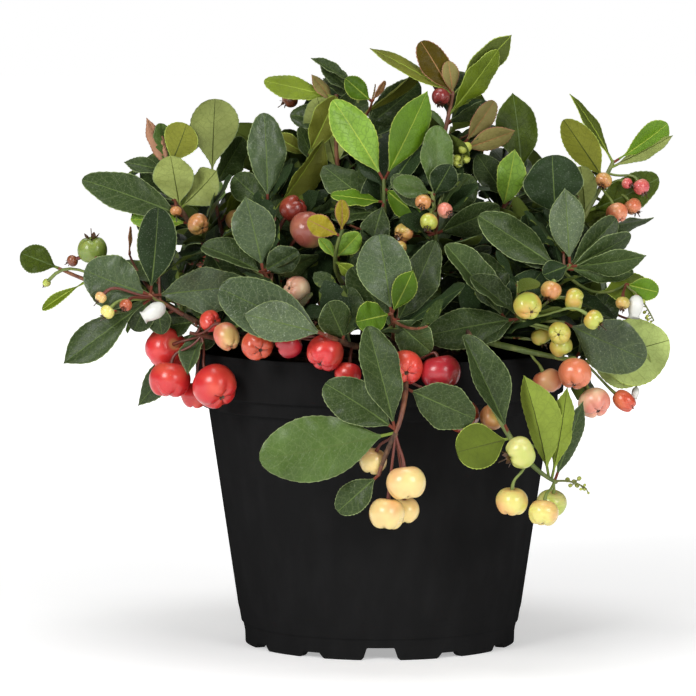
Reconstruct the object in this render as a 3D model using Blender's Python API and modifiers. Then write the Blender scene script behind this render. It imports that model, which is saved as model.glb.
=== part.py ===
"""Wintergreen in a black nursery pot, a Blender script in metres with +Z up.

The pot stands on the ground with its underside's centre at the origin, and -Y is its front. Boughs fork
from a short stem in the soil, and each one carries a mass: a stem with twigs, leaves and berries.
Sizes of the plant are written in millimetres and angles in degrees. A clock angle is read on a dial that
faces the front, 0 to the right and 90 up, and a toward angle tips that direction to the front.
"""

import math
import random

import bmesh
import bpy
from mathutils import Matrix, Vector
from mathutils.bvhtree import BVHTree

MM = 0.001
SEED = 7
GAP = 0.3

# Pot
POT_HEIGHT = 95.0
RIM_RADIUS = 59.8
RIM_BAND = 14.0
RIM_STEP = 4.5
BAND_RADIUS = 57.6
WALL_TOP_RADIUS = 55.5
WALL_FOOT_RADIUS = 46.0
WALL_FOOT_HEIGHT = 12.0
FOOT_RADIUS = 43.9
FOOT_HEIGHT = 4.0
FOOT_RIB = 3.4
FOOT_CORNER = 0.5
WALL = 1.3
FLOOR_TOP = 6.2
PAD_RADIUS = 12.0
LIP_DRAFT = 0.4
STEP_SLOPE = 1.5
NOTCHES = 12
DEEP_NOTCH = (11.8, 4.0)
SHALLOW_NOTCH = (8.6, 1.8)
NOTCH_SLANT = 1.4
NOTCH_CUT = 8.0
ROUND_STEPS = 36
TURN_MERGE = 0.00001

# Soil, and the short stem that stands on it
SOIL_RIM = 84.0
SOIL_TOP = 87.0
SOIL_CREST_RADIUS = 14.0
SOIL_SHOULDER = 4.0
SOIL_FOOT_TUCK = 1.2
CROWN_RADIUS = 6.5
CROWN_FLARE = 9.5
CROWN_HEIGHT = 22.0
CROWN_EDGE = 1.5
FLARE_SHARE = 0.25
CROWN_BULGE = 0.15
CROWN_STEPS = 24

# Limbs, leaves and berries
BOUGH_RADIUS = (1.2, 1.0)
BOUGH_POINTS = 5
BOUGH_STRAIGHT = 1.6
BOUGH_LEVELS = (0.16, 0.36, 0.56, 0.76, 0.9)
BOUGH_SHIFTS = (0, 14, -14, 28, -28, 42, -42, 60, -60, 80, -80)
BOUGH_PULLS = (0.35, 0.25, 0.5)
TRIED_FROM = 0.3
LOWEST_START = 96.0
HIGHEST_START = 120.0
STEM_RADIUS = (1.1, 0.8)
TWIG_RADIUS = (0.9, 0.7)
LIMB_POINTS = 5
HEADING_STEP = 0.01
STALK_RADIUS = 0.5
BERRY_STALK_RADIUS = 0.5
LEAF_THICKNESS = 0.7
LEAF_FOLD = 0.07
LEAF_CURL = 0.09
# Along a leaf: its station, and its half width there as a share of the widest
LEAF_RINGS = ((0.0, 0.0), (0.38, 0.86), (0.74, 0.93))
ROUND_BERRY = 4.5
BALL_TURNS = (0.35, 0.45)
BALL_LEVELS = (-0.92, -0.4, 0.4, 0.92)
BALL_SIDES = 8
ROD_SIDES = 6
OUTER_SHARE = 0.3
ROOM_MARGIN = 1.1
LAST_STATION = 0.98
SHARP_ANGLE = 50.0
KEPT_SHARE = 0.66

# How a piece that is set by hand may give way: clock, toward and turn of a leaf, or reach of a berry
LEAF_SIZES = (1.0, 0.85)
LEAF_NUDGES = ((0, 0, 0), (0, 7, 0), (0, -7, 0), (5, 0, 0), (-5, 0, 0), (0, 0, 16), (0, 0, -16), (5, 7, 0),
               (-5, 7, 0), (5, -7, 0), (-5, -7, 0), (0, 14, 0), (0, -14, 0), (0, 7, 16), (0, -7, -16),
               (10, 0, 0), (-10, 0, 0), (8, 14, 0), (-8, 14, 0), (8, -14, 0), (-8, -14, 0), (0, 22, 0),
               (0, -22, 0))
BERRY_SIZES = (1.0, 0.85)
BERRY_NUDGES = ((0, 0, 0), (0, 8, 0), (0, -8, 0), (8, 0, 0), (-8, 0, 0), (0, 0, 1.5), (0, 0, -1.5),
                (8, 8, 0), (-8, 8, 0), (8, -8, 0), (-8, -8, 0), (0, 16, 0), (0, -16, 0), (0, 24, 0),
                (0, -24, 0))

# The eye that the front is arranged for, and the room that the crown fills
EYE = Vector((-10.0, -1250.0, 195.0))
REACH_CENTRE = Vector((-8.0, 0.0, 106.0))
REACH = Vector((100.0, 90.0, 84.0))
HEART_CENTRE = Vector((4.0, 0.0, 120.0))
HEART = Vector((70.0, 1.0, 46.0))
FILL_FLOOR = 93.0
FRONT = Vector((0.0, -1.0, 0.0))
FAR = 300.0

# Leaves that fill a mass, by rule
GOLDEN_ANGLE = 137.5
FILL_PER_FRONT_MASS = 10
FILL_LENGTH = (22.0, 32.0)
FILL_SHAPE = (0.44, 0.54)
FILL_TRIES = 30
FILL_STATIONS = (0.22, 0.97)
FILL_OPENING = (72.0, 38.0)
FILL_OPENING_SPREAD = 10.0
FILL_ROUND_SPREAD = 0.9
FILL_TURN = 25.0
LIGHT_RISE = 1.3
FILL_BERRY_STATIONS = (0.5, LAST_STATION)
FILL_BERRY_REACH = (9.0, 16.0)
FILL_BERRY_RADIUS = (3.6, 6.2)
FILL_BERRY_OUTWARDS = 0.5
FILL_BERRY_ASIDE = 0.8
FILL_BERRY_DROP = (-1.2, -0.4)

# Each material's base colour and roughness
MATERIALS = {
    "pot_plastic": ((0.012, 0.012, 0.012), 0.45),
    "soil": ((0.03, 0.02, 0.012), 0.95),
    "bark": ((0.12, 0.06, 0.035), 0.8),
    "foliage": ((0.05, 0.11, 0.03), 0.45),
}

# Each mass of the front, as it grows: a stem through its start, middle and tip. A leaf is its station
# along the stem, clock, toward, length, width and turn about its midrib, and a berry its station, clock,
# toward, reach and radius.
MASSES = {
    "upper_left": dict(
        stem=((-40, -8, 112), (-61, -11, 136), (-68, -9, 153)),
        leaves=[(0.55, 155, 10, 33, 12.5, 18), (0.5, 173, 12, 19, 7.5, 40), (0.98, 165, 0, 14.5, 6, 35),
                (0.98, 111, -1, 18.5, 6.5, 55), (1.0, 72, 0, 16, 10.5, 165), (0.98, 95, -12, 16, 9, 30),
                (0.62, 60, 13, 21, 15, 155), (0.35, 300, 0, 17, 12, 20)],
        berries=[(0.5, 357, 50, 4.5, 3.5)],
        twigs=[dict(at=0.12, via=(-51, -3, 133), tip=(-54, -8, 149.5),
                    leaves=[(1.0, 88, 0, 26.5, 14.5, 180), (0.92, 60, -15, 20, 11, 35),
                            (0.6, 55, 5, 23, 9, 66)],
                    berries=[(0.6, 10, 38, 6.5, 3.2)])]),
    "tall_left": dict(
        stem=((-20, -14, 112), (-31, -17, 128), (-36, -18, 143)),
        leaves=[(1.0, 90, 0, 29, 12.5, 22), (0.85, 50, 5, 30, 12, 52)],
        berries=[]),
    "left_middle": dict(
        stem=((-20, -30, 100), (-30, -37, 112), (-37, -44, 123)),
        leaves=[(1.0, 101, 5, 24, 13.5, 12), (1.0, 31, 15, 13, 9.5, 15), (0.95, 12, -5, 18, 10, 50),
                (0.92, 149, -5, 22, 10, 50)],
        berries=[(0.3, 83, 10, 29, 6.2), (0.4, 89, -6, 32, 4.4), (0.2, 81, 52, 17, 4.3),
                 (0.3, 101, 32, 14.5, 3.7)]),
    "top_left": dict(
        stem=((-6, 6, 118), (-13, 2, 148), (-14, 3, 177)),
        leaves=[(1.0, 160, 5, 24, 8, 30), (0.97, 214, 0, 14, 7.5, 25), (0.93, 124, 0, 13, 6, 55),
                (0.55, 104, 0, 26, 14, 165)],
        berries=[],
        twigs=[dict(at=0.4, via=(-17, -1, 148), tip=(-23.5, -3, 158),
                    leaves=[(1.0, 149, 0, 12.5, 6, 30), (1.0, 62, 0, 21, 10, 20),
                            (0.8, 110, 0, 14, 7, 40)],
                    berries=[])]),
    "top_centre": dict(
        stem=((0, 8, 120), (-4, 8, 150), (-8, 6, 181)),
        leaves=[(1.0, 153, 0, 17, 5.5, 45), (0.97, 160, 0, 12, 4.5, 45), (0.93, 118, 15, 12, 7, 20),
                (0.82, 40, 16, 30.5, 6.5, 62), (0.75, 42, -10, 22, 11, 20)],
        berries=[]),
    "top_right": dict(
        stem=((8, -2, 120), (17, -6, 150), (23.5, -6, 178)),
        leaves=[(0.98, 151, 0, 30, 7.5, 50), (1.0, 121, 0, 18, 8.5, 15), (1.0, 90, 8, 9.5, 5.5, 15),
                (1.0, 40, 0, 27, 7.5, 45), (0.95, 47, 8, 23, 9.5, 20), (0.82, 19, 5, 14, 6, 50)],
        berries=[(1.0, 187, 28, 4.5, 3.0)],
        twigs=[dict(at=0.45, via=(22, -11, 154), tip=(27, -14, 162),
                    leaves=[(1.0, 49, 5, 17, 7, 30), (0.85, 31, 8, 19, 8, 22), (0.9, 15, -5, 15, 7, 50)],
                    berries=[])]),
    "hero_centre": dict(
        stem=((0, -16, 112), (1, -26, 132), (1, -30, 151)),
        leaves=[(1.0, 119, 8, 30, 12.5, 18), (1.0, 62, 8, 31.5, 12.5, 18), (0.5, 93, 0, 22, 14, 15),
                (0.8, 170, 5, 17, 7, 45), (0.72, 182, 5, 17, 7, 50)],
        berries=[],
        twigs=[dict(at=0.05, via=(-13, -38, 120), tip=(-12, -51, 136),
                    leaves=[(0.95, 152, 14, 11.5, 7, 10), (1.0, 86, 5, 10, 4.5, 15),
                            (0.75, 44, 8, 11, 7, 15), (0.75, 124, 0, 8, 4, 30),
                            (0.72, 322, 10, 8.5, 4.5, 10)],
                    berries=[])]),
    "centre_right": dict(
        stem=((14, -24, 108), (17, -32, 130), (16, -34, 147)),
        leaves=[(1.0, 160, 10, 13, 7.5, 20), (0.95, 60, 20, 12, 9, 15), (0.78, 140, 8, 18, 7.5, 15),
                (0.9, 85, -5, 24, 11, 20), (0.6, 20, 0, 22, 11, 25), (0.3, 15, 0, 20, 10, 50)],
        berries=[(0.85, 246, 69, 13, 2.8), (0.6, 174, 48, 15, 3.0)]),
    "right_tall": dict(
        stem=((24, -6, 108), (34, -12, 131), (46, -7, 151)),
        leaves=[(1.0, 91, 0, 27.5, 14, 20), (0.72, 76, 8, 20, 9.5, 20), (0.8, 125, -10, 18, 10, 20)],
        berries=[]),
    "right_upper": dict(
        stem=((46, -10, 108), (63, -9, 134), (75, -6, 156)),
        leaves=[(0.85, 123, 0, 22.5, 12, 165), (1.0, 123, 4, 26.5, 5.5, 52), (1.0, 36, 5, 21.5, 8.5, 20),
                (0.94, 25, -3, 20, 7, 60), (0.62, 27, 0, 26, 12, 20), (0.5, 12, 3, 25.5, 8, 60)],
        berries=[(0.9, 233, 64, 6, 2.7), (0.9, 336, 16, 12, 2.9), (0.8, 299, 42, 12.5, 3.5),
                 (0.8, 328, 3, 12, 2.9)]),
    "right_crest": dict(
        stem=((36, -28, 104), (50, -40, 116), (59, -46, 125)),
        leaves=[(1.0, 94, 10, 24, 12, 12), (0.95, 13, 10, 24, 11, 28), (0.9, 2, -8, 20, 9, 50),
                (0.85, 146, 8, 32, 13, 25), (0.78, 143, -3, 24, 11, 35), (1.0, 200, 20, 9, 7, 10)],
        berries=[],
        twigs=[dict(at=0.5, via=(52, -38, 128), tip=(55, -36, 139),
                    leaves=[(1.0, 95, 8, 20, 19, 8)], berries=[])]),
    "right_front": dict(
        stem=((22, -30, 96), (34, -44, 104), (44, -54, 109)),
        leaves=[(0.75, 126, -3, 31, 11, 45), (0.72, 108, -8, 24, 13.5, 20), (0.95, 139, 3, 20, 9, 50),
                (0.92, 187, 10, 29, 12.5, 22), (0.95, 200, 0, 20, 10, 35)],
        berries=[(1.0, 73, 61, 9, 4.4), (1.0, 45, 18, 13, 3.2), (1.0, 20, 7, 17, 3.5),
                 (0.9, 343, 23, 14.5, 3.5), (0.9, 328, 6, 16, 3.7), (0.9, 324, -13, 10, 3.1),
                 (1.0, 360, 21, 23, 3.1)],
        twigs=[dict(at=0.8, via=(48, -52, 108), tip=(57, -50, 107),
                    leaves=[(1.0, 335, 12, 28, 17.5, 12)], berries=[])]),
    "right_low": dict(
        stem=((28, -46, 102), (50, -49, 97), (66, -44, 94)),
        leaves=[(0.9, 14, -5, 27, 18, 170)],
        berries=[(0.6, 324, 39, 10, 5.1), (0.8, 295, 12, 14.5, 5.0), (0.4, 301, -15, 11.5, 4.7),
                 (0.9, 316, 0, 17.5, 2.8)]),
    "right_hanging": dict(
        stem=((29, -60, 98), (39.5, -70, 73), (54, -62, 58.5)),
        leaves=[(0.48, 113, 8, 34, 12.5, 30), (0.5, 195, -10, 17, 15, 160), (0.92, 97, 0, 34, 12, 150),
                (0.95, 80, 3, 29, 9, 150)],
        berries=[(0.5, 307, 21, 5.5, 4.9), (0.7, 249, -4, 13.5, 5.0), (1.0, 244, 31, 12, 4.7),
                 (1.0, 265, -32, 7.5, 4.6), (0.3, 254, -54, 5.0, 4.0)]),
    "front_hanging": dict(
        stem=((7, -56, 99), (7, -73, 86), (4, -77, 75)),
        leaves=[(1.0, 104, 5, 34, 13.5, 28), (1.0, 191, 8, 42, 20, 8), (0.95, 143, -3, 26, 14, 20),
                (0.4, 336, 8, 23, 15, 12)],
        berries=[(1.0, 282, 4, 15.5, 6.0), (1.0, 264, -2, 25, 5.6), (1.0, 277, -22, 27, 4.6),
                 (1.0, 234, -28, 13, 4.3), (0.2, 103, 71, 3.0, 5.5), (0.1, 343, 27, 12, 6.3),
                 (0.3, 334, -15, 22, 5.2)],
        twigs=[dict(at=0.98, via=(1, -76, 68), tip=(-1, -75, 62),
                    leaves=[(1.0, 222, 0, 17, 9.5, 20)], berries=[])]),
    "front_left": dict(
        stem=((-6, -50, 99), (-12, -64, 102), (-17, -74, 105)),
        leaves=[(1.0, 163, 10, 26, 12.5, 8), (0.85, 158, 3, 37, 17, 12), (0.4, 112, 35, 17, 10.5, 15)],
        berries=[(0.3, 194, 43, 10.5, 5.7), (0.25, 262, 66, 11, 4.8), (0.5, 182, -3, 16.5, 4.6),
                 (0.6, 184, -14, 26, 4.9)]),
    "front_centre": dict(
        stem=((4, -36, 97), (4, -52, 103), (3, -64, 111)),
        leaves=[(0.95, 97, 5, 25, 16.5, 10), (1.0, 61, 12, 15, 7.5, 15), (1.0, 190, 25, 12, 10.5, 12),
                (0.6, 120, -5, 24, 13, 18), (0.7, 60, -6, 30, 12, 22)],
        berries=[]),
    "left": dict(
        stem=((-42, -24, 98), (-58, -32, 106), (-73, -36, 115)),
        leaves=[(1.0, 160, 8, 22, 13.5, 10), (1.0, 79, 10, 28, 12.5, 15), (0.97, 8, 15, 32, 15, 12),
                (0.95, 216, 8, 34, 11.5, 20), (0.9, 320, 5, 12, 7, 20), (0.35, 227, -29, 37, 9.5, 30),
                (0.5, 258, 20, 19, 7.5, 55)],
        berries=[(0.95, 145, -30, 28, 4.8)],
        twigs=[dict(at=0.9, via=(-88, -26, 117), tip=(-103, -15, 122),
                    leaves=[(1.0, 158, 0, 13, 7.5, 15), (0.65, 208, 0, 15, 4.5, 20)], berries=[]),
               dict(at=0.2, via=(-52, -35, 101), tip=(-60, -38, 103), leaves=[],
                    berries=[(0.9, 2, 50, 15.5, 4.0), (0.8, 202, -37, 15.5, 6.7),
                             (0.8, 234, 2, 17.0, 6.4), (0.8, 286, 26, 17.5, 7.0),
                             (0.8, 261, -21, 23.0, 4.5), (0.9, 44, 16, 6.5, 2.8)])]),
}

# The masses of the sides and the back: their stem, and how many leaves and berries the rule gives them.
BACK_MASSES = {
    "left_side": (((-44, 4, 100), (-62, 8, 108), (-80, 10, 113)), 13, 3),
    "right_side": (((44, 4, 100), (64, 8, 104), (80, 10, 108)), 13, 3),
    "back_left": (((-30, 20, 104), (-48, 34, 116), (-60, 44, 132)), 15, 3),
    "back_centre": (((-4, 26, 106), (-6, 42, 122), (-6, 54, 144)), 15, 3),
    "back_right": (((28, 22, 104), (46, 34, 118), (58, 42, 134)), 15, 3),
    "back_low_left": (((-24, 38, 98), (-36, 54, 100), (-48, 68, 98)), 14, 4),
    "back_low_right": (((24, 40, 98), (36, 56, 100), (46, 70, 98)), 14, 4),
    "back_hanging": (((2, 56, 99), (2, 74, 88), (0, 78, 74)), 8, 4),
    "back_crest_left": (((-14, 16, 114), (-22, 24, 140), (-28, 27, 162)), 14, 2),
    "back_crest_right": (((12, 16, 114), (18, 24, 142), (24, 28, 166)), 14, 2),
}


def bearing(clock, toward):
    """The unit vector of a clock angle and a toward angle."""
    clock, toward = math.radians(clock), math.radians(toward)
    level = math.cos(toward)
    return Vector((math.cos(clock) * level, -math.sin(toward), math.sin(clock) * level))


def turned(along, face, turn):
    """The face direction, squared to the midrib and then turned about it."""
    face = (face - along * face.dot(along)).normalized()
    return Matrix.Rotation(math.radians(turn), 3, along) @ face


def on_limb(limb, t):
    """The point at t, from 0 to 1, on the parabola through a limb's start, middle and tip."""
    start, middle, tip = (Vector(point) for point in limb)
    pull = 2 * middle - (start + tip) / 2
    return (1 - t) ** 2 * start + 2 * t * (1 - t) * pull + t * t * tip


def heading(limb, t):
    """The unit direction of a limb at t."""
    return (on_limb(limb, t + HEADING_STEP) - on_limb(limb, t - HEADING_STEP)).normalized()


def between(ends, t):
    return ends[0] + (ends[1] - ends[0]) * t


def twig_limb(mass, twig):
    """A twig's own limb, from its station on the mass's stem."""
    return (on_limb(mass["stem"], twig["at"]), twig["via"], twig["tip"])


def loft(rings, tip):
    """A closed solid through rings of points, flat at its first ring and pointed at its tip."""
    points = [point for ring in rings for point in ring] + [tip]
    count = len(rings[0])
    last = len(points) - 1 - count
    faces = [tuple(reversed(range(count)))]
    for low in range(0, last, count):
        faces += [(low + k, low + (k + 1) % count, low + count + (k + 1) % count, low + count + k)
                  for k in range(count)]
    faces += [(last + k, last + (k + 1) % count, last + count) for k in range(count)]
    return points, faces


def ring_round(centre, side, up, count):
    """Points round a centre, on the ellipse that side and up span."""
    turns = [2 * math.pi * k / count for k in range(count)]
    return [centre + side * math.cos(turn) + up * math.sin(turn) for turn in turns]


def leaf_shape(root, along, face, length, width, start=0.0, swell=0.0):
    """A leaf from the share start of its length on: three-sided, keeled below, curled back at the tip."""
    side = along.cross(face)
    rings = []
    for station, share in LEAF_RINGS:
        station = max(station, start)
        half = max(share * width / 2, STALK_RADIUS) + swell
        middle = root + along * (length * station) - face * (LEAF_CURL * length * station**2)
        edge = side * half
        lift = face * (LEAF_FOLD * half + swell)
        keel = face * (LEAF_THICKNESS + swell)
        rings.append([middle + edge + lift, middle - edge + lift, middle - keel])
    tip = root + along * (length + swell) - face * (LEAF_CURL * length)
    return loft(rings, tip)


def ball_shape(centre, radius):
    """A coarse ball, to test a berry's room with."""
    rings = []
    for height in BALL_LEVELS:
        across = radius * math.sqrt(1 - height**2) * ROOM_MARGIN
        level = centre + Vector((0, 0, radius * height))
        rings.append(ring_round(level, Vector((across, 0, 0)), Vector((0, across, 0)), BALL_SIDES))
    return loft(rings, centre + Vector((0, 0, radius)))


def rod_shape(points, radii):
    """A coarse rod along points, to test a limb's room with."""
    rings = []
    for index, point in enumerate(points):
        before, after = points[max(index - 1, 0)], points[min(index + 1, len(points) - 1)]
        along = (after - before).normalized()
        side = along.orthogonal().normalized() * radii[index] * ROOM_MARGIN
        rings.append(ring_round(point, side, along.cross(side), ROD_SIDES))
    return loft(rings, points[-1] + (points[-1] - points[-2]).normalized() * HEADING_STEP)


class Growth:
    """What stands already. A new piece must clear all of it, and its own mass too with its outer part."""

    def __init__(self):
        self.pieces = []

    def add(self, mass, whole, outer):
        centre = sum(whole[0], Vector()) / len(whole[0])
        radius = max((point - centre).length for point in whole[0])
        tree = BVHTree.FromPolygons(*whole)
        outer_tree = BVHTree.FromPolygons(*outer) if outer else None
        self.pieces.append((mass, centre, radius, tree, outer_tree))

    def is_clear(self, mass, whole, outer):
        """Whether a piece, given already swollen by the gap, cuts nothing that stands."""
        centre = sum(whole[0], Vector()) / len(whole[0])
        radius = max((point - centre).length for point in whole[0])
        tree = BVHTree.FromPolygons(*whole)
        outer_tree = BVHTree.FromPolygons(*outer) if outer else None
        for other_mass, other_centre, other_radius, other_tree, other_outer in self.pieces:
            if (centre - other_centre).length > radius + other_radius:
                continue
            if other_mass != mass:
                if tree.overlap(other_tree):
                    return False
            elif outer_tree and other_outer and outer_tree.overlap(other_outer):
                return False
        return True


def together(first, second):
    """Two shapes as one list of points and one of faces."""
    shift = len(first[0])
    return first[0] + second[0], first[1] + [tuple(k + shift for k in face) for face in second[1]]


def berry_shape(root, along, reach, radius, swell=0.0):
    """A berry's ball with the stalk that it hangs on, to test its room with."""
    centre = root + along * reach
    stalk = rod_shape([root, centre], [BERRY_STALK_RADIUS + swell] * 2)
    return together(ball_shape(centre, radius + swell), stalk)


def place_leaf(growth, name, leaf):
    """Adds a leaf where it clears everything, and says whether it did."""
    outer = leaf_shape(*leaf, start=OUTER_SHARE)
    if not growth.is_clear(name, leaf_shape(*leaf, swell=GAP), outer):
        return False
    growth.add(name, leaf_shape(*leaf), outer)
    return True


def place_berry(growth, name, berry):
    """Adds a berry where it clears everything, and says whether it did."""
    root, along, reach, radius = berry
    ball = ball_shape(root + along * reach, radius)
    if not growth.is_clear(name, berry_shape(*berry, swell=GAP), ball):
        return False
    growth.add(name, berry_shape(*berry), ball)
    return True


def set_leaf(growth, name, limb, row):
    """A leaf that is set by hand, nudged or made a little smaller where it would touch another mass."""
    station, clock, toward, length, width, turn = row
    root = on_limb(limb, min(station, LAST_STATION))
    for size in LEAF_SIZES:
        for more_clock, more_toward, more_turn in LEAF_NUDGES:
            along = bearing(clock + more_clock, toward + more_toward)
            face = turned(along, FRONT, turn + more_turn)
            leaf = (root, along, face, length * size, width * size)
            if place_leaf(growth, name, leaf):
                return [leaf]
    return []


def set_berry(growth, name, limb, row):
    """A berry that is set by hand, nudged or made a little smaller where it would touch another mass."""
    station, clock, toward, reach, radius = row
    root = on_limb(limb, min(station, LAST_STATION))
    for size in BERRY_SIZES:
        for more_clock, more_toward, more_reach in BERRY_NUDGES:
            along = bearing(clock + more_clock, toward + more_toward)
            berry = (root, along, reach + more_reach, radius * size)
            if place_berry(growth, name, berry):
                return [berry]
    return []


def in_reach(point):
    """Whether a point lies in the room that the crown fills."""
    return sum(((point[k] - REACH_CENTRE[k]) / REACH[k]) ** 2 for k in range(3)) < 1


def in_heart(point):
    """Whether a point is seen in the crown's dense heart, or would be if the leaves in front were away."""
    seen = EYE + (point - EYE) * (EYE.y / (EYE.y - point.y))
    across = (seen.x - HEART_CENTRE.x) / HEART.x
    up = (seen.z - HEART_CENTRE.z) / HEART.z
    return across**2 + up**2 < 1 and seen.z > FILL_FLOOR


def keeps_view(front, points):
    """Whether points hide nothing that is set in front, and show only in the crown's heart."""
    for point in points:
        sight = (point - EYE).normalized()
        if front.ray_cast(point, sight, FAR)[0]:
            return False
        if not in_heart(point) and not front.ray_cast(point, -sight, FAR)[0]:
            return False
    return True


def fill_leaves(growth, front, name, limb, count, chance):
    """Leaves by rule: in a spiral up the limb, wide open at its foot, less at its tip, top to the light."""
    leaves = []
    for step in range(count):
        for _ in range(FILL_TRIES):
            station = between(FILL_STATIONS, (step + chance.random()) / count)
            root, up_limb = on_limb(limb, station), heading(limb, station)
            spread = chance.uniform(-FILL_OPENING_SPREAD, FILL_OPENING_SPREAD)
            opening = math.radians(between(FILL_OPENING, station) + spread)
            spread = chance.uniform(-FILL_ROUND_SPREAD, FILL_ROUND_SPREAD)
            round_limb = math.radians(GOLDEN_ANGLE * step) + spread
            outwards = Matrix.Rotation(round_limb, 3, up_limb) @ up_limb.orthogonal().normalized()
            along = up_limb * math.cos(opening) + outwards * math.sin(opening)
            light = Vector((root.x, root.y, LIGHT_RISE * max(root.xy.length, 1.0))).normalized()
            length = chance.uniform(*FILL_LENGTH)
            width = length * chance.uniform(*FILL_SHAPE)
            face = turned(along, light, chance.uniform(-FILL_TURN, FILL_TURN))
            leaf = (root, along, face, length, width)
            points = leaf_shape(*leaf)[0][3:]
            if in_reach(points[-1]) and keeps_view(front, points) and place_leaf(growth, name, leaf):
                leaves.append(leaf)
                break
    return leaves


def fill_berries(growth, front, name, limb, count, chance):
    """Berries by rule: they hang below the outer half of the limb."""
    berries = []
    for step in range(count):
        for _ in range(FILL_TRIES):
            root = on_limb(limb, between(FILL_BERRY_STATIONS, (step + chance.random()) / count))
            outwards = Vector((root.x, root.y, 0)).normalized()
            aside = [chance.uniform(-FILL_BERRY_ASIDE, FILL_BERRY_ASIDE) for _ in range(2)]
            drop = chance.uniform(*FILL_BERRY_DROP)
            along = (outwards * FILL_BERRY_OUTWARDS + Vector((*aside, drop))).normalized()
            berry = (root, along, chance.uniform(*FILL_BERRY_REACH), chance.uniform(*FILL_BERRY_RADIUS))
            points = ball_shape(root + along * berry[2], berry[3])[0]
            if in_reach(points[-1]) and keeps_view(front, points) and place_berry(growth, name, berry):
                berries.append(berry)
                break
    return berries


def plan_limbs():
    """Each mass's stem and twigs, with their radii and the rows of what they carry."""
    limbs = {name: [(mass["stem"], STEM_RADIUS, mass)] for name, mass in MASSES.items()}
    for name, mass in MASSES.items():
        limbs[name] += [(twig_limb(mass, twig), TWIG_RADIUS, twig) for twig in mass.get("twigs", [])]
    limbs.update({name: [(stem, STEM_RADIUS, None)] for name, (stem, _, _) in BACK_MASSES.items()})
    return limbs


def grow(growth, limbs, pot_shape):
    """Every mass's leaves and berries, each clear of the other masses. What is set by hand comes first."""
    grown = {name: dict(limbs=[limb[:2] for limb in own], leaves=[], berries=[])
             for name, own in limbs.items()}
    for name in MASSES:
        for limb, _, rows in limbs[name]:
            for row in rows["berries"]:
                grown[name]["berries"] += set_berry(growth, name, limb, row)
    for name in MASSES:
        for limb, _, rows in limbs[name]:
            for row in rows["leaves"]:
                grown[name]["leaves"] += set_leaf(growth, name, limb, row)
    front = pot_shape
    for mass in grown.values():
        for leaf in mass["leaves"]:
            front = together(front, leaf_shape(*leaf))
        for root, along, reach, radius in mass["berries"]:
            front = together(front, ball_shape(root + along * reach, radius))
    front = BVHTree.FromPolygons(*front)
    for name, own in limbs.items():
        chance = random.Random(f"{SEED} {name}")
        _, leaves, berries = BACK_MASSES.get(name, (None, FILL_PER_FRONT_MASS, 0))
        grown[name]["berries"] += fill_berries(growth, front, name, own[0][0], berries, chance)
        grown[name]["leaves"] += fill_leaves(growth, front, name, own[0][0], leaves, chance)
    return grown


def limb_points(limb, radii):
    """Points along a limb and its radius at each."""
    stations = [step / (LIMB_POINTS - 1) for step in range(LIMB_POINTS)]
    return [on_limb(limb, t) for t in stations], [between(radii, t) for t in stations]


def clear_scene():
    for obj in list(bpy.data.objects):
        bpy.data.objects.remove(obj, do_unlink=True)


def new_collection(name):
    collection = bpy.data.collections.new(name)
    bpy.context.scene.collection.children.link(collection)
    return collection


def new_material(name):
    colour, roughness = MATERIALS[name]
    material = bpy.data.materials.new(name)
    material.use_nodes = True
    shader = material.node_tree.nodes["Principled BSDF"]
    shader.inputs["Base Color"].default_value = (*colour, 1.0)
    shader.inputs["Roughness"].default_value = roughness
    return material


def new_object(name, data, collection, material=None):
    obj = bpy.data.objects.new(name, data)
    if material:
        data.materials.append(material)
    collection.objects.link(obj)
    return obj


def evaluated_mesh(obj):
    """The object's mesh with its modifiers or its bevel applied."""
    return bpy.data.meshes.new_from_object(obj.evaluated_get(bpy.context.evaluated_depsgraph_get()))


def shape_of(obj):
    """A finished object's points, in millimetres, and its faces."""
    mesh = evaluated_mesh(obj)
    points = [vertex.co / MM for vertex in mesh.vertices]
    faces = [tuple(face.vertices) for face in mesh.polygons]
    bpy.data.meshes.remove(mesh)
    return points, faces


def turned_solid(name, profile, steps, collection, material):
    """A solid of revolution from radius and height pairs, which run down its outer side."""
    mesh = bpy.data.meshes.new(name)
    points = [(radius * MM, 0, height * MM) for radius, height in profile]
    mesh.from_pydata(points, [(k, k + 1) for k in range(len(points) - 1)], [])
    obj = new_object(name, mesh, collection, material)
    screw = obj.modifiers.new("turn", "SCREW")
    screw.steps = screw.render_steps = steps
    screw.use_merge_vertices = True
    screw.merge_threshold = TURN_MERGE
    return obj


def tube(name, points, radii, collection, material=None, section=None):
    """A limb with flat ends through points, with its radius at each: four-sided, or a section's shape."""
    curve = bpy.data.curves.new(name, "CURVE")
    curve.dimensions = "3D"
    curve.bevel_depth = MM
    curve.bevel_resolution = 0
    if section:
        curve.bevel_mode = "OBJECT"
        curve.bevel_object = section
    curve.use_fill_caps = True
    spline = curve.splines.new("POLY")
    spline.points.add(len(points) - 1)
    for place, point, radius in zip(spline.points, points, radii):
        place.co = (*(point * MM), 1.0)
        place.radius = radius
    return new_object(name, curve, collection, material)


def twig_section(collection):
    """The three-sided outline, 1 mm in radius, that stems and twigs are swept with."""
    curve = bpy.data.curves.new("twig_section", "CURVE")
    spline = curve.splines.new("POLY")
    spline.points.add(2)
    for place, corner in zip(spline.points, ring_round(Vector(), Vector((MM, 0, 0)), Vector((0, MM, 0)), 3)):
        place.co = (*corner, 1.0)
    spline.use_cyclic_u = True
    section = new_object("twig_section", curve, collection)
    section.hide_render = True
    section.display_type = "WIRE"
    return section


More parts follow.
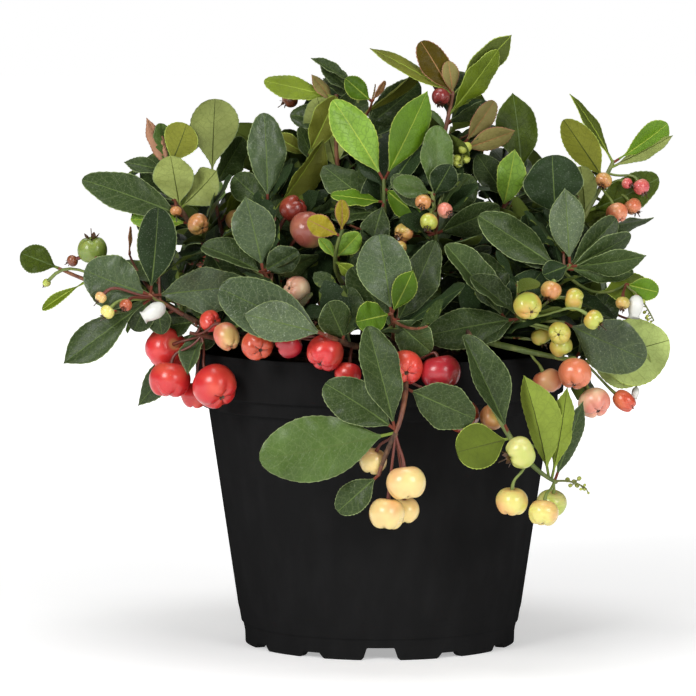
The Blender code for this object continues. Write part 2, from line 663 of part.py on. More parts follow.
def make_pot(collection, cutters, material):
    """A thin-walled pot with a stepped rim, on a notched foot ring and a flat pad in its middle."""
    band_foot = POT_HEIGHT - RIM_BAND
    inside = [
        (0, FLOOR_TOP),
        (WALL_FOOT_RADIUS - WALL - 2 * FOOT_CORNER, FLOOR_TOP),
        (WALL_TOP_RADIUS - WALL, band_foot - RIM_STEP),
        (BAND_RADIUS - WALL, band_foot - RIM_STEP + STEP_SLOPE),
        (BAND_RADIUS - WALL, band_foot + WALL),
        (RIM_RADIUS - WALL, POT_HEIGHT),
    ]
    outside = [
        (RIM_RADIUS, POT_HEIGHT),
        (RIM_RADIUS - LIP_DRAFT, band_foot + FOOT_CORNER),
        (BAND_RADIUS, band_foot),
        (BAND_RADIUS, band_foot - RIM_STEP + FOOT_CORNER),
        (WALL_TOP_RADIUS, band_foot - RIM_STEP),
        (WALL_FOOT_RADIUS, WALL_FOOT_HEIGHT),
        (WALL_FOOT_RADIUS - LIP_DRAFT, WALL_FOOT_HEIGHT - STEP_SLOPE),
        (FOOT_RADIUS, FOOT_HEIGHT),
        (FOOT_RADIUS, 0),
        (FOOT_RADIUS - FOOT_RIB, 0),
        (FOOT_RADIUS - FOOT_RIB - FOOT_CORNER, FOOT_HEIGHT + FOOT_CORNER),
        (PAD_RADIUS + FOOT_CORNER, FOOT_HEIGHT),
        (PAD_RADIUS, 0),
        (0, 0),
    ]
    pot = turned_solid("pot", inside + outside, ROUND_STEPS, collection, material)
    for index in range(NOTCHES):
        width, depth = DEEP_NOTCH if index % 3 == 0 else SHALLOW_NOTCH
        cutter_mesh = bpy.data.meshes.new("notch_cutter")
        form = bmesh.new()
        bmesh.ops.create_cube(form, size=1.0)
        for vertex in form.verts:
            taper = NOTCH_SLANT if vertex.co.z > 0 else -NOTCH_SLANT
            across = math.copysign(width / 2 - taper, vertex.co.x)
            vertex.co = Vector((across, vertex.co.y * NOTCH_CUT, vertex.co.z * 2 * depth)) * MM
        form.to_mesh(cutter_mesh)
        form.free()
        cutter = new_object(f"notch_cutter_{index}", cutter_mesh, cutters)
        round_pot = math.radians(360 / NOTCHES * index - 90)
        foot_middle = FOOT_RADIUS - FOOT_RIB / 2
        cutter.location = Vector((math.cos(round_pot), math.sin(round_pot), 0)) * foot_middle * MM
        cutter.rotation_euler.z = round_pot + math.pi / 2
        cutter.hide_render = True
        cutter.display_type = "WIRE"
    cut = pot.modifiers.new("notches", "BOOLEAN")
    cut.operation = "DIFFERENCE"
    cut.operand_type = "COLLECTION"
    cut.collection = cutters
    return pot


def make_soil(collection, material):
    """The soil that fills the pot, 0.3 mm clear of it, with a flat crest under the crown."""
    inner = WALL + GAP
    profile = [
        (0, SOIL_TOP),
        (SOIL_CREST_RADIUS, SOIL_TOP),
        (BAND_RADIUS - inner - SOIL_SHOULDER, SOIL_RIM),
        (WALL_TOP_RADIUS - inner, POT_HEIGHT - RIM_BAND - RIM_STEP),
        (WALL_FOOT_RADIUS - inner - SOIL_FOOT_TUCK, FLOOR_TOP + GAP),
        (0, FLOOR_TOP + GAP),
    ]
    return turned_solid("soil", profile, ROUND_STEPS, collection, material)


def crown_radius(height):
    """The crown's radius at a height above its foot."""
    return between((CROWN_FLARE, CROWN_RADIUS), min(height / (FLARE_SHARE * CROWN_HEIGHT), 1.0))


def make_crown(collection, material):
    """The short woody stem that the boughs fork from, flared at the soil."""
    foot = SOIL_TOP + GAP
    flare = FLARE_SHARE * CROWN_HEIGHT
    profile = [(0, foot + CROWN_HEIGHT), (CROWN_RADIUS - CROWN_EDGE, foot + CROWN_HEIGHT),
               (CROWN_RADIUS, foot + CROWN_HEIGHT - CROWN_EDGE)]
    profile += [(crown_radius(height), foot + height) for height in (flare, flare / 2, 0)]
    profile.append((0, foot))
    return turned_solid("crown", profile, CROWN_STEPS, collection, material)


def bough_route(foot, out, stem, pull_share):
    """A bough's points: straight out of the crown, then round into its mass's stem, 0.3 mm short of it."""
    ahead = (on_limb(stem, 1 / (LIMB_POINTS - 1)) - Vector(stem[0])).normalized()
    end = Vector(stem[0]) - ahead * GAP
    first, last = foot + out * BOUGH_STRAIGHT, end - ahead * BOUGH_STRAIGHT
    pull = (last - first).length * pull_share
    corners = (first, first + out * pull, last - ahead * pull, last)
    route = [foot]
    for step in range(BOUGH_POINTS):
        t = step / (BOUGH_POINTS - 1)
        weights = ((1 - t) ** 3, 3 * t * (1 - t) ** 2, 3 * t * t * (1 - t), t**3)
        route.append(sum((corner * weight for corner, weight in zip(corners, weights)), Vector()))
    return route + [end]


def bough_choices(stem):
    """Routes from the crown to a stem, the straightest first: from the level that suits its height."""
    start = Vector(stem[0])
    level_wanted = (start.z - LOWEST_START) / (HIGHEST_START - LOWEST_START)
    for level in sorted(BOUGH_LEVELS, key=lambda level: abs(level - level_wanted)):
        height = level * CROWN_HEIGHT
        for shift in BOUGH_SHIFTS:
            round_crown = math.atan2(start.y, start.x) + math.radians(shift)
            out = Vector((math.cos(round_crown), math.sin(round_crown), 0))
            across = crown_radius(height - BOUGH_RADIUS[0]) + GAP + CROWN_BULGE
            foot = out * across + Vector((0, 0, SOIL_TOP + GAP + height))
            for pull_share in BOUGH_PULLS:
                yield bough_route(foot, out, stem, pull_share)


def route_boughs(growth, stems):
    """The route and radii of each mass's bough, clear of crown, pot, soil, stems and the other boughs."""
    boughs = {}
    count = BOUGH_POINTS + 2
    radii = [between(BOUGH_RADIUS, step / (count - 1)) for step in range(count)]
    swollen = [radius + GAP for radius in radii]
    for name, stem in stems.items():
        for route in bough_choices(stem):
            # The foot itself lies 0.3 mm off the crown, so the swollen rod starts a little further out
            tried = [route[0] + (route[1] - route[0]) * TRIED_FROM, *route[1:]]
            if growth.is_clear(name, rod_shape(tried, swollen), None):
                growth.add(None, rod_shape(route, radii), None)
                boughs[name] = (route, radii)
                break
    return boughs


def limb_piece(limb, radii, section, collection):
    """A limb as a closed mesh, for a mass to be joined from."""
    curve = tube("limb", *limb_points(limb, radii), collection, section=section)
    mesh = evaluated_mesh(curve)
    data = curve.data
    bpy.data.objects.remove(curve)
    bpy.data.curves.remove(data)
    form = bmesh.new()
    form.from_mesh(mesh)
    bmesh.ops.remove_doubles(form, verts=form.verts, dist=TURN_MERGE / 10)
    return finish_piece("limb", form, collection, mesh)


def finish_piece(name, form, collection, mesh=None):
    """A closed form as an object, in triangles that point outwards."""
    mesh = mesh or bpy.data.meshes.new(name)
    bmesh.ops.triangulate(form, faces=form.faces)
    bmesh.ops.recalc_face_normals(form, faces=form.faces)
    form.to_mesh(mesh)
    form.free()
    return new_object(name, mesh, collection)


def leaf_piece(leaf, collection):
    points, faces = leaf_shape(*leaf)
    form = bmesh.new()
    corners = [form.verts.new(point * MM) for point in points]
    for face in faces:
        form.faces.new([corners[k] for k in face])
    return finish_piece("leaf", form, collection)


def berry_pieces(berry, collection):
    """A berry, and the stalk that sinks into it and into its limb."""
    root, along, reach, radius = berry
    # The ball is turned so that the stalk meets the middle of one of its faces
    aim = along.to_track_quat("X", "Z").to_matrix().to_4x4()
    for turn, axis in zip(BALL_TURNS, "YZ"):
        aim @= Matrix.Rotation(turn, 4, axis)
    ball = bmesh.new()
    place = Matrix.Translation((root + along * reach) * MM) @ aim
    sides = 8 if radius >= ROUND_BERRY else 6
    bmesh.ops.create_uvsphere(ball, u_segments=sides, v_segments=4, radius=radius * MM, matrix=place)
    stalk = bmesh.new()
    aim = along.to_track_quat("Z", "Y").to_matrix().to_4x4()
    place = Matrix.Translation((root + along * reach / 2) * MM) @ aim
    bmesh.ops.create_cone(stalk, cap_ends=True, segments=3, radius1=BERRY_STALK_RADIUS * MM,
                          radius2=BERRY_STALK_RADIUS * MM, depth=reach * MM, matrix=place)
    return [finish_piece("berry", ball, collection), finish_piece("stalk", stalk, collection)]


def islands(form):
    """The connected groups of faces of a form."""
    left = set(form.faces)
    groups = []
    while left:
        group, edge_of_group = [], [left.pop()]
        while edge_of_group:
            face = edge_of_group.pop()
            group.append(face)
            beside = {other for edge in face.edges for other in edge.link_faces} & left
            left -= beside
            edge_of_group += beside
        groups.append(group)
    return groups


def group_volume(group):
    """Six times the volume that a group of triangles closes, below zero for a hollow."""
    return sum(face.verts[0].co.dot(face.verts[1].co.cross(face.verts[2].co)) for face in group)


def join_mass(name, parts, section, collection, material):
    """One solid from a mass's limbs, leaves and berries, without any scrap or sealed hollow."""
    pieces = new_collection(f"pieces_{name}")
    (first_limb, first_radii), *other_limbs = parts["limbs"]
    for limb, radii in other_limbs:
        limb_piece(limb, radii, section, pieces)
    for leaf in parts["leaves"]:
        leaf_piece(leaf, pieces)
    for berry in parts["berries"]:
        berry_pieces(berry, pieces)
    stem = limb_piece(first_limb, first_radii, section, bpy.context.scene.collection)
    union = stem.modifiers.new("join", "BOOLEAN")
    union.operation = "UNION"
    union.operand_type = "COLLECTION"
    union.collection = pieces
    joined = evaluated_mesh(stem)
    for piece in [*pieces.objects, stem]:
        mesh = piece.data
        bpy.data.objects.remove(piece)
        bpy.data.meshes.remove(mesh)
    bpy.data.collections.remove(pieces)
    form = bmesh.new()
    form.from_mesh(joined)
    bmesh.ops.triangulate(form, faces=form.faces)
    solid, *loose = sorted(islands(form), key=group_volume, reverse=True)
    bmesh.ops.delete(form, geom=[face for group in loose for face in group], context="FACES")
    form.to_mesh(joined)
    form.free()
    joined.name = name
    shade_round(joined)
    mass = new_object(name, joined, collection, material)
    # The union leaves slivers where roots meet their limb, and this takes them first
    mass.modifiers.new("slivers", "DECIMATE").ratio = KEPT_SHARE
    return mass


def shade_round(mesh):
    mesh.shade_smooth()
    mesh.set_sharp_from_angle(angle=math.radians(SHARP_ANGLE))


def main():
    clear_scene()
    plant = new_collection("potted_wintergreen")
    cutters = new_collection("cutters")
    guides = new_collection("guides")
    plastic, peat, bark, foliage = (new_material(name) for name in MATERIALS)

    pot = make_pot(plant, cutters, plastic)
    growth = Growth()
    for obj in (pot, make_soil(plant, peat), make_crown(plant, bark)):
        growth.add(None, shape_of(obj), None)
    limbs = plan_limbs()
    for name, own in limbs.items():
        for limb, radii, _ in own:
            growth.add(name, rod_shape(*limb_points(limb, radii)), None)
    stems = {name: own[0][0] for name, own in limbs.items()}
    for name, (route, radii) in route_boughs(growth, stems).items():
        tube(f"bough_{name}", route, radii, plant, bark)
    section = twig_section(guides)
    for name, parts in grow(growth, limbs, shape_of(pot)).items():
        join_mass(f"foliage_{name}", parts, section, plant, foliage)


if __name__ == "__main__":
    main()
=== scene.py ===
"""The potted wintergreen as it looks: its leaves, berries, flowers and bark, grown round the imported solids.

Sizes of the plant are in millimetres and angles in degrees, as in the source of the solids. A clock angle is
read on a dial that faces the front, 0 to the right and 90 up, and a toward angle tips that direction to the
front. Leaves and berries grow by the source's rule, written again here, so that they lie where its solids
are, and the rule then carries the masses on to finer twigs and leaves. Every new piece is a surface worked
out with numpy, and its points are in metres once it is joined.
"""
import math
import random

import bpy
import numpy as np
from mathutils import Matrix, Vector
from mathutils.bvhtree import BVHTree


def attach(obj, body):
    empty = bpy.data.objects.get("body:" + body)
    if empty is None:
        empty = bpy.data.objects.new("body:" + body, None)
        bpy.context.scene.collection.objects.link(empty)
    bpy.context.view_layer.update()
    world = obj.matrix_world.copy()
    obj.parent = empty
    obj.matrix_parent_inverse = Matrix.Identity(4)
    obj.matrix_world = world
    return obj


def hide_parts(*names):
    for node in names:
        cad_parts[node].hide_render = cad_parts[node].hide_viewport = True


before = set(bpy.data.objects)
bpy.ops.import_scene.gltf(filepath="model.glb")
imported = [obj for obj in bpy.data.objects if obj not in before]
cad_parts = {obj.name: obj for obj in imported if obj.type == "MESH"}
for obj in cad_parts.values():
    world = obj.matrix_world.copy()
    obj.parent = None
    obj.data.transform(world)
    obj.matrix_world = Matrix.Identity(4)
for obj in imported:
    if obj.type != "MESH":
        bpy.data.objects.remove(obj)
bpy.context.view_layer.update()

MM = 0.001
SEED = 7
GAP = 0.3

# Camera
EYE = Vector((-10.3, -1250.0, 195.0))
EYE_PITCH = math.radians(4.57)
EYE_LENS = 200.4
SENSOR = 36.0

# Pot
POT_HEIGHT = 95.0
RIM_RADIUS = 59.8
RIM_BAND = 14.0
RIM_STEP = 4.5
BAND_RADIUS = 57.6
WALL_TOP_RADIUS = 55.5
WALL_FOOT_RADIUS = 46.0
WALL_FOOT_HEIGHT = 12.0
FOOT_RADIUS = 43.9
FOOT_HEIGHT = 4.0
FOOT_RIB = 3.4
FOOT_CORNER = 0.5
WALL = 1.3
FLOOR_TOP = 6.2
PAD_RADIUS = 12.0
LIP_DRAFT = 0.4
STEP_SLOPE = 1.5
NOTCHES = 12
DEEP_NOTCH = (11.8, 4.0)
SHALLOW_NOTCH = (8.6, 1.8)
NOTCH_SLANT = 1.4
POT_COLUMNS = 480
ROUNDING = 0.35

# Soil, and the short stem that stands on it
SOIL_RIM = 84.0
SOIL_TOP = 87.0
SOIL_CREST_RADIUS = 14.0
SOIL_SHOULDER = 4.0
SOIL_FOOT_TUCK = 1.2
CROWN_RADIUS = 6.5
CROWN_FLARE = 9.5
CROWN_HEIGHT = 22.0
CROWN_BULGE = 0.15
FLARE_SHARE = 0.25

# Limbs, leaves and berries, as in the source
BOUGH_RADIUS = (1.2, 1.0)
BOUGH_POINTS = 5
BOUGH_STRAIGHT = 1.6
BOUGH_LEVELS = (0.16, 0.36, 0.56, 0.76, 0.9)
BOUGH_SHIFTS = (0, 14, -14, 28, -28, 42, -42, 60, -60, 80, -80)
BOUGH_PULLS = (0.35, 0.25, 0.5)
TRIED_FROM = 0.3
LOWEST_START = 96.0
HIGHEST_START = 120.0
STEM_RADIUS = (1.1, 0.8)
TWIG_RADIUS = (0.9, 0.7)
FINE_TWIG_RADIUS = (0.6, 0.45)
LIMB_POINTS = 5
HEADING_STEP = 0.01
STALK_RADIUS = 0.5
LEAF_THICKNESS = 0.7
LEAF_FOLD = 0.07
LEAF_CURL = 0.09
LEAF_RINGS = ((0.0, 0.0), (0.38, 0.86), (0.74, 0.93))
BALL_LEVELS = (-0.92, -0.4, 0.4, 0.92)
BALL_SIDES = 8
ROD_SIDES = 6
OUTER_SHARE = 0.3
ROOM_MARGIN = 1.1
LAST_STATION = 0.98
LEAF_SIZES = (1.0, 0.85)
LEAF_NUDGES = ((0, 0, 0), (0, 7, 0), (0, -7, 0), (5, 0, 0), (-5, 0, 0), (0, 0, 16), (0, 0, -16), (5, 7, 0),
               (-5, 7, 0), (5, -7, 0), (-5, -7, 0), (0, 14, 0), (0, -14, 0), (0, 7, 16), (0, -7, -16),
               (10, 0, 0), (-10, 0, 0), (8, 14, 0), (-8, 14, 0), (8, -14, 0), (-8, -14, 0), (0, 22, 0),
               (0, -22, 0))
BERRY_SIZES = (1.0, 0.85)
BERRY_NUDGES = ((0, 0, 0), (0, 8, 0), (0, -8, 0), (8, 0, 0), (-8, 0, 0), (0, 0, 1.5), (0, 0, -1.5),
                (8, 8, 0), (-8, 8, 0), (8, -8, 0), (-8, -8, 0), (0, 16, 0), (0, -16, 0), (0, 24, 0),
                (0, -24, 0))

# The source's eye, and the room that its crown fills
PLAN_EYE = Vector((-10.0, -1250.0, 195.0))
REACH_CENTRE = Vector((-8.0, 0.0, 106.0))
REACH = Vector((100.0, 90.0, 84.0))
HEART_CENTRE = Vector((4.0, 0.0, 120.0))
HEART = Vector((70.0, 1.0, 46.0))
FILL_FLOOR = 93.0
FRONT = Vector((0.0, -1.0, 0.0))
FAR = 300.0

# Leaves and berries that fill a mass, by rule
GOLDEN_ANGLE = 137.5
FILL_PER_FRONT_MASS = 10
FILL_LENGTH = (22.0, 32.0)
FILL_SHAPE = (0.44, 0.54)
FILL_TRIES = 30
FILL_STATIONS = (0.22, 0.97)
FILL_OPENING = (72.0, 38.0)
FILL_OPENING_SPREAD = 10.0
FILL_ROUND_SPREAD = 0.9
FILL_TURN = 25.0
LIGHT_RISE = 1.3
FILL_BERRY_STATIONS = (0.5, LAST_STATION)
FILL_BERRY_REACH = (9.0, 16.0)
FILL_BERRY_RADIUS = (3.6, 6.2)
FILL_BERRY_OUTWARDS = 0.5
FILL_BERRY_ASIDE = 0.8
FILL_BERRY_DROP = (-1.2, -0.4)

# The finer growth that the solids leave out
FINE_TWIGS = 7
FINE_TWIG_STATIONS = (0.05, 0.95)
FINE_TWIG_LENGTH = (8.0, 19.0)
FINE_TWIG_OPENING = (30.0, 80.0)
FINE_TWIG_RISE = 0.18
FINE_LEAVES = 4
FINE_LEAF_LENGTH = (12.0, 22.0)
SMALL_LEAVES = 24
SMALL_LEAF_LENGTH = (13.0, 27.0)

# What the photograph shows, mass by mass. A leaf is (station on its limb, clock, toward, length, width, turn,
# tone and habit), and a berry is (station, clock, toward, distance, radius, tone), and for some the way to its
# stalk. A small one is too fine for the solids.
MASSES = {
    "upper_left": dict(
        stem=((-40, -8, 112), (-61, -11, 136), (-68, -9, 153)),
        leaves=[(0.55, 157, 10, 35, 12.5, 18, "dark"), (0.5, 173, 12, 19, 7.5, 40, "bright"),
                (0.98, 165, 0, 14.5, 6, 35, "dark pointed"), (0.98, 106, -1, 18.5, 7, 38, "rose pointed"),
                (1, 64, 0, 16.5, 11.5, 165, "olive wedge"), (0.98, 95, -12, 16, 9, 30, "mid"),
                (0.62, 99, 12, 18, 13.5, 165, "pale"), (0.35, 300, 0, 17, 12, 20, "dark")],
        more=[(0.62, 40, 8, 17.5, 12.5, 150, "pale pointed")],
        berries=[(0.5, 357, 50, 4.5, 3.5, "blush")],
        twigs=[dict(at=0.12, via=(-51, -3, 133), tip=(-54, -8, 149.5),
                    leaves=[(1, 89, 0, 27, 15.5, 180, "pale wedge"), (0.92, 60, -15, 20, 11, 35, "dark"),
                            (0.6, 52, 5, 24, 9, 42, "lime pointed")],
                    berries=[(0.6, 10, 38, 6.5, 3.2, "blush")])],
        small=[(0.72, 278, 37, 5.4, 1.9, "blush")]),
    "tall_left": dict(
        stem=((-20, -14, 112), (-31, -17, 128), (-36, -18, 143)),
        leaves=[(1, 90, 0, 29, 12.5, 22, "grey"), (0.85, 50, 5, 30, 12, 52, "olive pointed folded")],
        berries=[],
        more=[(0.95, 140, -25, 17, 10, 20, "dark")]),
    "left_middle": dict(
        stem=((-20, -30, 100), (-30, -37, 112), (-37, -44, 123)),
        leaves=[(1, 101, 5, 24, 13.5, 12, "grey pointed"), (1, 31, 15, 13, 9.5, 15, "grey"),
                (0.95, 12, -5, 18, 10, 50, "dark"), (0.92, 149, -5, 22, 10, 50, "dark folded")],
        # The first two berries have darker tones that paint the shadow they hang in: wholly for the red one, partly for
        # the pink one.
        berries=[(0.3, 83, 10, 28.6, 5.9, "dusky"), (0.4, 89, -6, 32, 4.4, "russet"),
                 (0.2, 99, 32, 14, 4.3, "rose"), (0.3, 49, 38, 9.6, 3.9, "rose")]),
    "top_left": dict(
        stem=((-6, 6, 118), (-13, 2, 148), (-14, 3, 177)),
        leaves=[(1, 165, 5, 24, 8, 30, "lime"), (0.97, 214, 0, 14, 7.5, 25, "dark"),
                (0.93, 124, 0, 13, 6, 55, "pink pointed"), (0.55, 104, 0, 26, 14, 165, "pale")],
        berries=[],
        more=[(0.85, 173, -4, 15, 8.5, 20, "dark"), (0.75, 60, -15, 18, 11, 20, "dark")],
        twigs=[dict(at=0.4, via=(-17, -1, 148), tip=(-23.5, -3, 158),
                    leaves=[(1, 149, 0, 12.5, 6, 30, "olive"), (1, 62, 0, 21, 10, 20, "olive"),
                            (0.8, 110, 0, 14, 7, 40, "dark")],
                    berries=[])],
        small=[(0.97, 180, -22, 16.2, 2.8, "maroon")]),
    "top_centre": dict(
        stem=((0, 8, 120), (-4, 8, 150), (-8, 6, 181)),
        leaves=[(1, 144, 0, 17, 4.5, 50, "dark pointed folded"), (0.9, 144, 0, 13.5, 5, 40, "dark pointed"),
                (0.93, 136, 0, 15.5, 7, 40, "dark pointed"), (0.82, 35, 16, 31, 6.5, 62, "olive pointed folded"),
                (0.75, 35, -10, 25, 12, 20, "dark")],
        berries=[],
        more=[(0.55, 73, -4, 28.5, 10, 20, "dark")],
        shoots=[dict(at=0.8, via=(-3.8, 2, 171.3), tip=(-2.6, -2, 174.9),
                     leaves=[(1, 140, 15, 11.5, 7, 10, "fresh"), (1, 53, 10, 8, 2.5, 40, "dry"),
                             (0.9, 75, 10, 6.5, 2, 100, "dry")])]),
    "top_right": dict(
        stem=((8, -2, 120), (17, -6, 150), (23.5, -6, 178)),
        leaves=[(0.98, 146, 0, 30.5, 7.5, 50, "olive pointed"), (1, 119, 0, 20, 9.5, 15, "bronze"),
                (1, 96, 8, 11, 5.5, 15, "pink"), (1, 44, 0, 27, 10, 38, "shade pointed"),
                (0.86, 50, 8, 26, 9, 18, "moss"), (0.82, 30, 5, 13, 6, 50, "dark pointed folded")],
        berries=[(1, 187, 28, 4.5, 3, "turning", (0.1, 0.5, 1))],
        more=[(0.6, 100, 10, 17, 9, 20, "mid"), (0.5, 60, -10, 18, 10, 20, "dark")],
        twigs=[dict(at=0.45, via=(22, -11, 154), tip=(27, -14, 162),
                    leaves=[(1, 53, 5, 16.5, 7.5, 30, "pink"), (0.85, 18, 8, 18.5, 8, 22, "pink pointed"),
                            (0.9, 15, -5, 15, 7, 50, "dark pointed")],
                    berries=[],
                    small=[(1, 258, 52, 17, 2.2, "buds")])]),
    "hero_centre": dict(
        stem=((0, -16, 112), (1, -26, 132), (1, -30, 151)),
        leaves=[(1, 119, 8, 30, 12.5, 18, "bright"), (1, 62, 8, 31.5, 12.5, 18, "vivid pointed"),
                (0.5, 93, 0, 22, 14, 15, "deep"), (0.8, 170, 5, 17, 7, 45, "fresh"),
                (0.72, 182, 5, 17, 7, 50, "dark")],
        berries=[],
        more=[(0.92, 318, 15, 14, 8.5, 25, "fresh"), (0.8, 250, 22, 16, 9.5, 15, "dark"),
              (0.5, 262, 20, 14, 9, 12, "dark")],
        twigs=[dict(at=0.05, via=(-13, -38, 120), tip=(-12, -51, 136),
                    leaves=[(0.95, 152, 14, 11.5, 7, 10, "young"), (1, 86, 5, 10, 4.5, 15, "young"),
                            (0.75, 44, 8, 11, 7, 15, "bright"), (0.75, 124, 0, 8, 4, 30, "bright"),
                            (0.72, 322, 10, 8.5, 4.5, 10, "lime")],
                    berries=[])]),
    "centre_right": dict(
        stem=((14, -24, 108), (17, -32, 130), (16, -34, 147)),
        leaves=[(1, 160, 10, 13, 7.5, 20, "mid"), (0.95, 60, 20, 12, 9, 15, "deep"),
                (0.78, 140, 8, 18, 7.5, 15, "dark"), (0.9, 85, -5, 24, 11, 20, "mid"),
                (0.6, 20, 0, 22, 11, 25, "dark"), (0.3, 15, 0, 20, 10, 50, "dark")],
        berries=[(0.85, 246, 69, 13, 2.8, "unripe"), (0.6, 174, 48, 15, 3, "blush")],
        small=[(0.9, 177, 71, 10.5, 2.5, "blush"), (0.8, 14, 69, 8.7, 2.5, "rose"),
               (0.6, 198, 48, 17.6, 2.2, "blush")],
        more=[(0.1, 15, -10, 15, 11, 10, "deep"), (0.05, 338, -10, 15.5, 10, 10, "deep"),
              (0.8, 33, -18, 18, 11, 20, "dark")]),
    "right_tall": dict(
        stem=((24, -6, 108), (34, -12, 131), (46, -7, 151)),
        leaves=[(1, 93, 0, 27.5, 14, 20, "forest pointed"), (0.72, 76, 8, 20, 9.5, 20, "bright pointed"),
                (0.8, 125, -10, 18, 10, 20, "dark")],
        berries=[]),
    "right_upper": dict(
        stem=((46, -10, 108), (63, -9, 134), (75, -6, 156)),
        leaves=[(0.85, 124, 0, 23.5, 10.5, 165, "olive"), (1, 116, 4, 26, 6, 46, "shade pointed"),
                (1, 32, 5, 21.5, 10.5, 20, "vivid wedge"), (0.94, 24, -3, 22.5, 7, 135, "pale pointed"),
                (0.62, 21, 0, 25.5, 12, 20, "forest"), (0.5, 3, 3, 25, 8, 60, "dark pointed")],
        more=[(0.6, 94, -6, 15.5, 9, 168, "pale"), (0.5, 25, -8, 13.5, 8, 160, "shade")],
        berries=[(0.9, 233, 64, 6, 2.7, "blush"), (0.9, 338, 16, 11.8, 2.7, "pinkish"),
                 (0.8, 299, 42, 12.5, 3.5, "coral"), (0.8, 328, 3, 12, 2.9, "coral")],
        small=[(0.8, 8, 15, 8.9, 1.8, "pinkish")]),
    "right_crest": dict(
        stem=((36, -28, 104), (50, -40, 116), (59, -46, 125)),
        leaves=[(1, 94, 10, 24, 12, 12, "frost pointed"), (0.95, 4, 10, 24.5, 10, 32, "dark pointed"),
                (0.9, 2, -8, 20, 9, 50, "mid"), (0.85, 146, 8, 32, 13, 25, "dark"),
                (0.78, 143, -3, 24, 11, 35, "dark"), (1, 200, 20, 9, 7, 10, "deep")],
        berries=[],
        twigs=[dict(at=0.5, via=(52, -38, 128), tip=(55, -36, 139),
                    leaves=[(1, 95, 8, 20, 19, 8, "deep")],
                    berries=[])],
        more=[(0.9, 355, -4, 21.5, 8, 20, "dark"), (0.9, 23, -8, 23.5, 9, 20, "dark"),
              (0.9, 41, -12, 23, 9, 20, "dark")],
        shoots=[dict(at=0.85, via=(67, -44, 116.1), tip=(76.7, -44, 118.9),
                     leaves=[(1, 345, 15, 10.5, 7.2, 10, "vivid"), (0.55, 8, -12, 16, 10, 165, "shade")],
                     berries=[(1, 296, 31, 7.7, 2.5, "bell"), (1, 256, 47, 8.3, 2.3, "blush"),
                              (1, 309, 0, 14, 1, "buds")])]),
    "right_front": dict(
        stem=((22, -30, 96), (34, -44, 104), (44, -54, 109)),
        leaves=[(0.75, 126, -3, 31, 11, 45, "dark folded"), (0.72, 108, -8, 24, 13.5, 20, "dark"),
                (0.95, 139, 3, 20, 9, 50, "dark folded"), (0.92, 187, 10, 29, 12.5, 22, "dark"),
                (0.95, 200, 0, 20, 10, 35, "dark")],
        berries=[(1, 73, 61, 9, 4.4, "unripe"), (1, 45, 18, 13, 3.2, "blush", (0.3, 0.2, 0.8)),
                 (1, 20, 7, 17, 3.5, "unripe"), (0.9, 343, 23, 14.5, 3.5, "unripe", (0.15, 0.95, 0.1)),
                 (0.9, 328, 6, 16, 3.7, "unripe"), (0.9, 324, -13, 10, 3.1, "unripe"),
                 (1, 360, 21, 23, 3.1, "unripe")],
        twigs=[dict(at=0.8, via=(48, -52, 108), tip=(57, -50, 107),
                    leaves=[(1, 335, 12, 28, 17.5, 12, "grey")],
                    berries=[])]),
    "right_low": dict(
        stem=((28, -46, 102), (50, -49, 97), (66, -44, 94)),
        # These leaves have a lightened underside: painted light on leaves that the leaves in front of them shade.
        leaves=[(0.9, 12, -5, 27.5, 21.5, 170, "light")],
        more=[(0.8, 60, -18, 27, 11, 20, "dark"), (0.9, 352, -8, 21, 15, 170, "light")],
        berries=[(0.6, 324, 39, 10, 5.1, "coral", (0.1, 0.45, 0.9)),
                 (0.8, 295, 12, 14.5, 5, "rose", (-0.3, 0.6, 0.7)),
                 (0.4, 301, -15, 11.5, 4.7, "coral"), (0.9, 316, 0, 17.5, 3.1, "ember", (-0.75, 0.3, 0.6), 1.4)],
        small=[(0.98, 327, -8, 17.2, 1.3, "bell"), (0.98, 339, -9, 15.2, 1.2, "cream")]),
    "right_hanging": dict(
        stem=((29, -60, 98), (39.5, -70, 73), (54, -62, 58.5)),
        leaves=[(0.48, 113, 8, 34, 12.5, 30, "dark folded"), (0.5, 195, -10, 17, 15, 160, "shade"),
                (0.92, 99, 0, 33, 13, 150, "moss pointed folded"), (0.95, 77, 3, 29.5, 8.5, 150, "moss pointed")],
        more=[(0.98, 69, -8, 26.5, 8, 30, "dark pointed")],
        berries=[(0.5, 307, 21, 5.5, 4.9, "wax", (0.9, 0.1, 0.4)), (0.7, 249, -4, 13.5, 5, "lemon"),
                 (1, 247, 29, 12, 4.7, "lemon"), (1, 266, -33, 8.6, 4.6, "wax"),
                 (0.3, 254, -54, 5, 4, "blush")],
        small=[(1, 350, 10, 10, 1.0, "buds")]),
    "front_hanging": dict(
        stem=((7, -56, 99), (7, -73, 86), (4, -77, 75)),
        leaves=[(1, 103, 5, 33.5, 14, 28, "dark"), (1, 192, 8, 42, 20, 8, "mid"),
                (0.95, 143, -3, 26, 14, 20, "dark"), (0.4, 336, 8, 23, 15, 12, "dark")],
        berries=[(1, 282, 4, 15.5, 6, "cream"), (1, 264, -2, 25, 5.6, "cream"),
                 (1, 277, -22, 27, 4.6, "cream"), (1, 234, -28, 13, 4.3, "cream"),
                 (0.2, 103, 71, 3, 5.5, "red"), (0.1, 343, 27, 12, 6.3, "crimson", (-0.2, 0.1, 1)),
                 (0.3, 334, -15, 22, 5.2, "brown")],
        twigs=[dict(at=0.98, via=(1, -76, 68), tip=(-1, -75, 62),
                    leaves=[(1, 222, 0, 17, 9.5, 20, "dark")],
                    berries=[])]),
    "front_left": dict(
        stem=((-6, -50, 99), (-12, -64, 102), (-17, -74, 105)),
        leaves=[(1, 163, 10, 26, 12.5, 8, "frost pointed"), (0.85, 158, 3, 37, 17, 12, "grey"),
                (0.4, 112, 35, 17, 10.5, 15, "dark")],
        berries=[(0.3, 194, 43, 10.5, 5.7, "red"), (0.25, 262, 66, 11, 4.8, "red"),
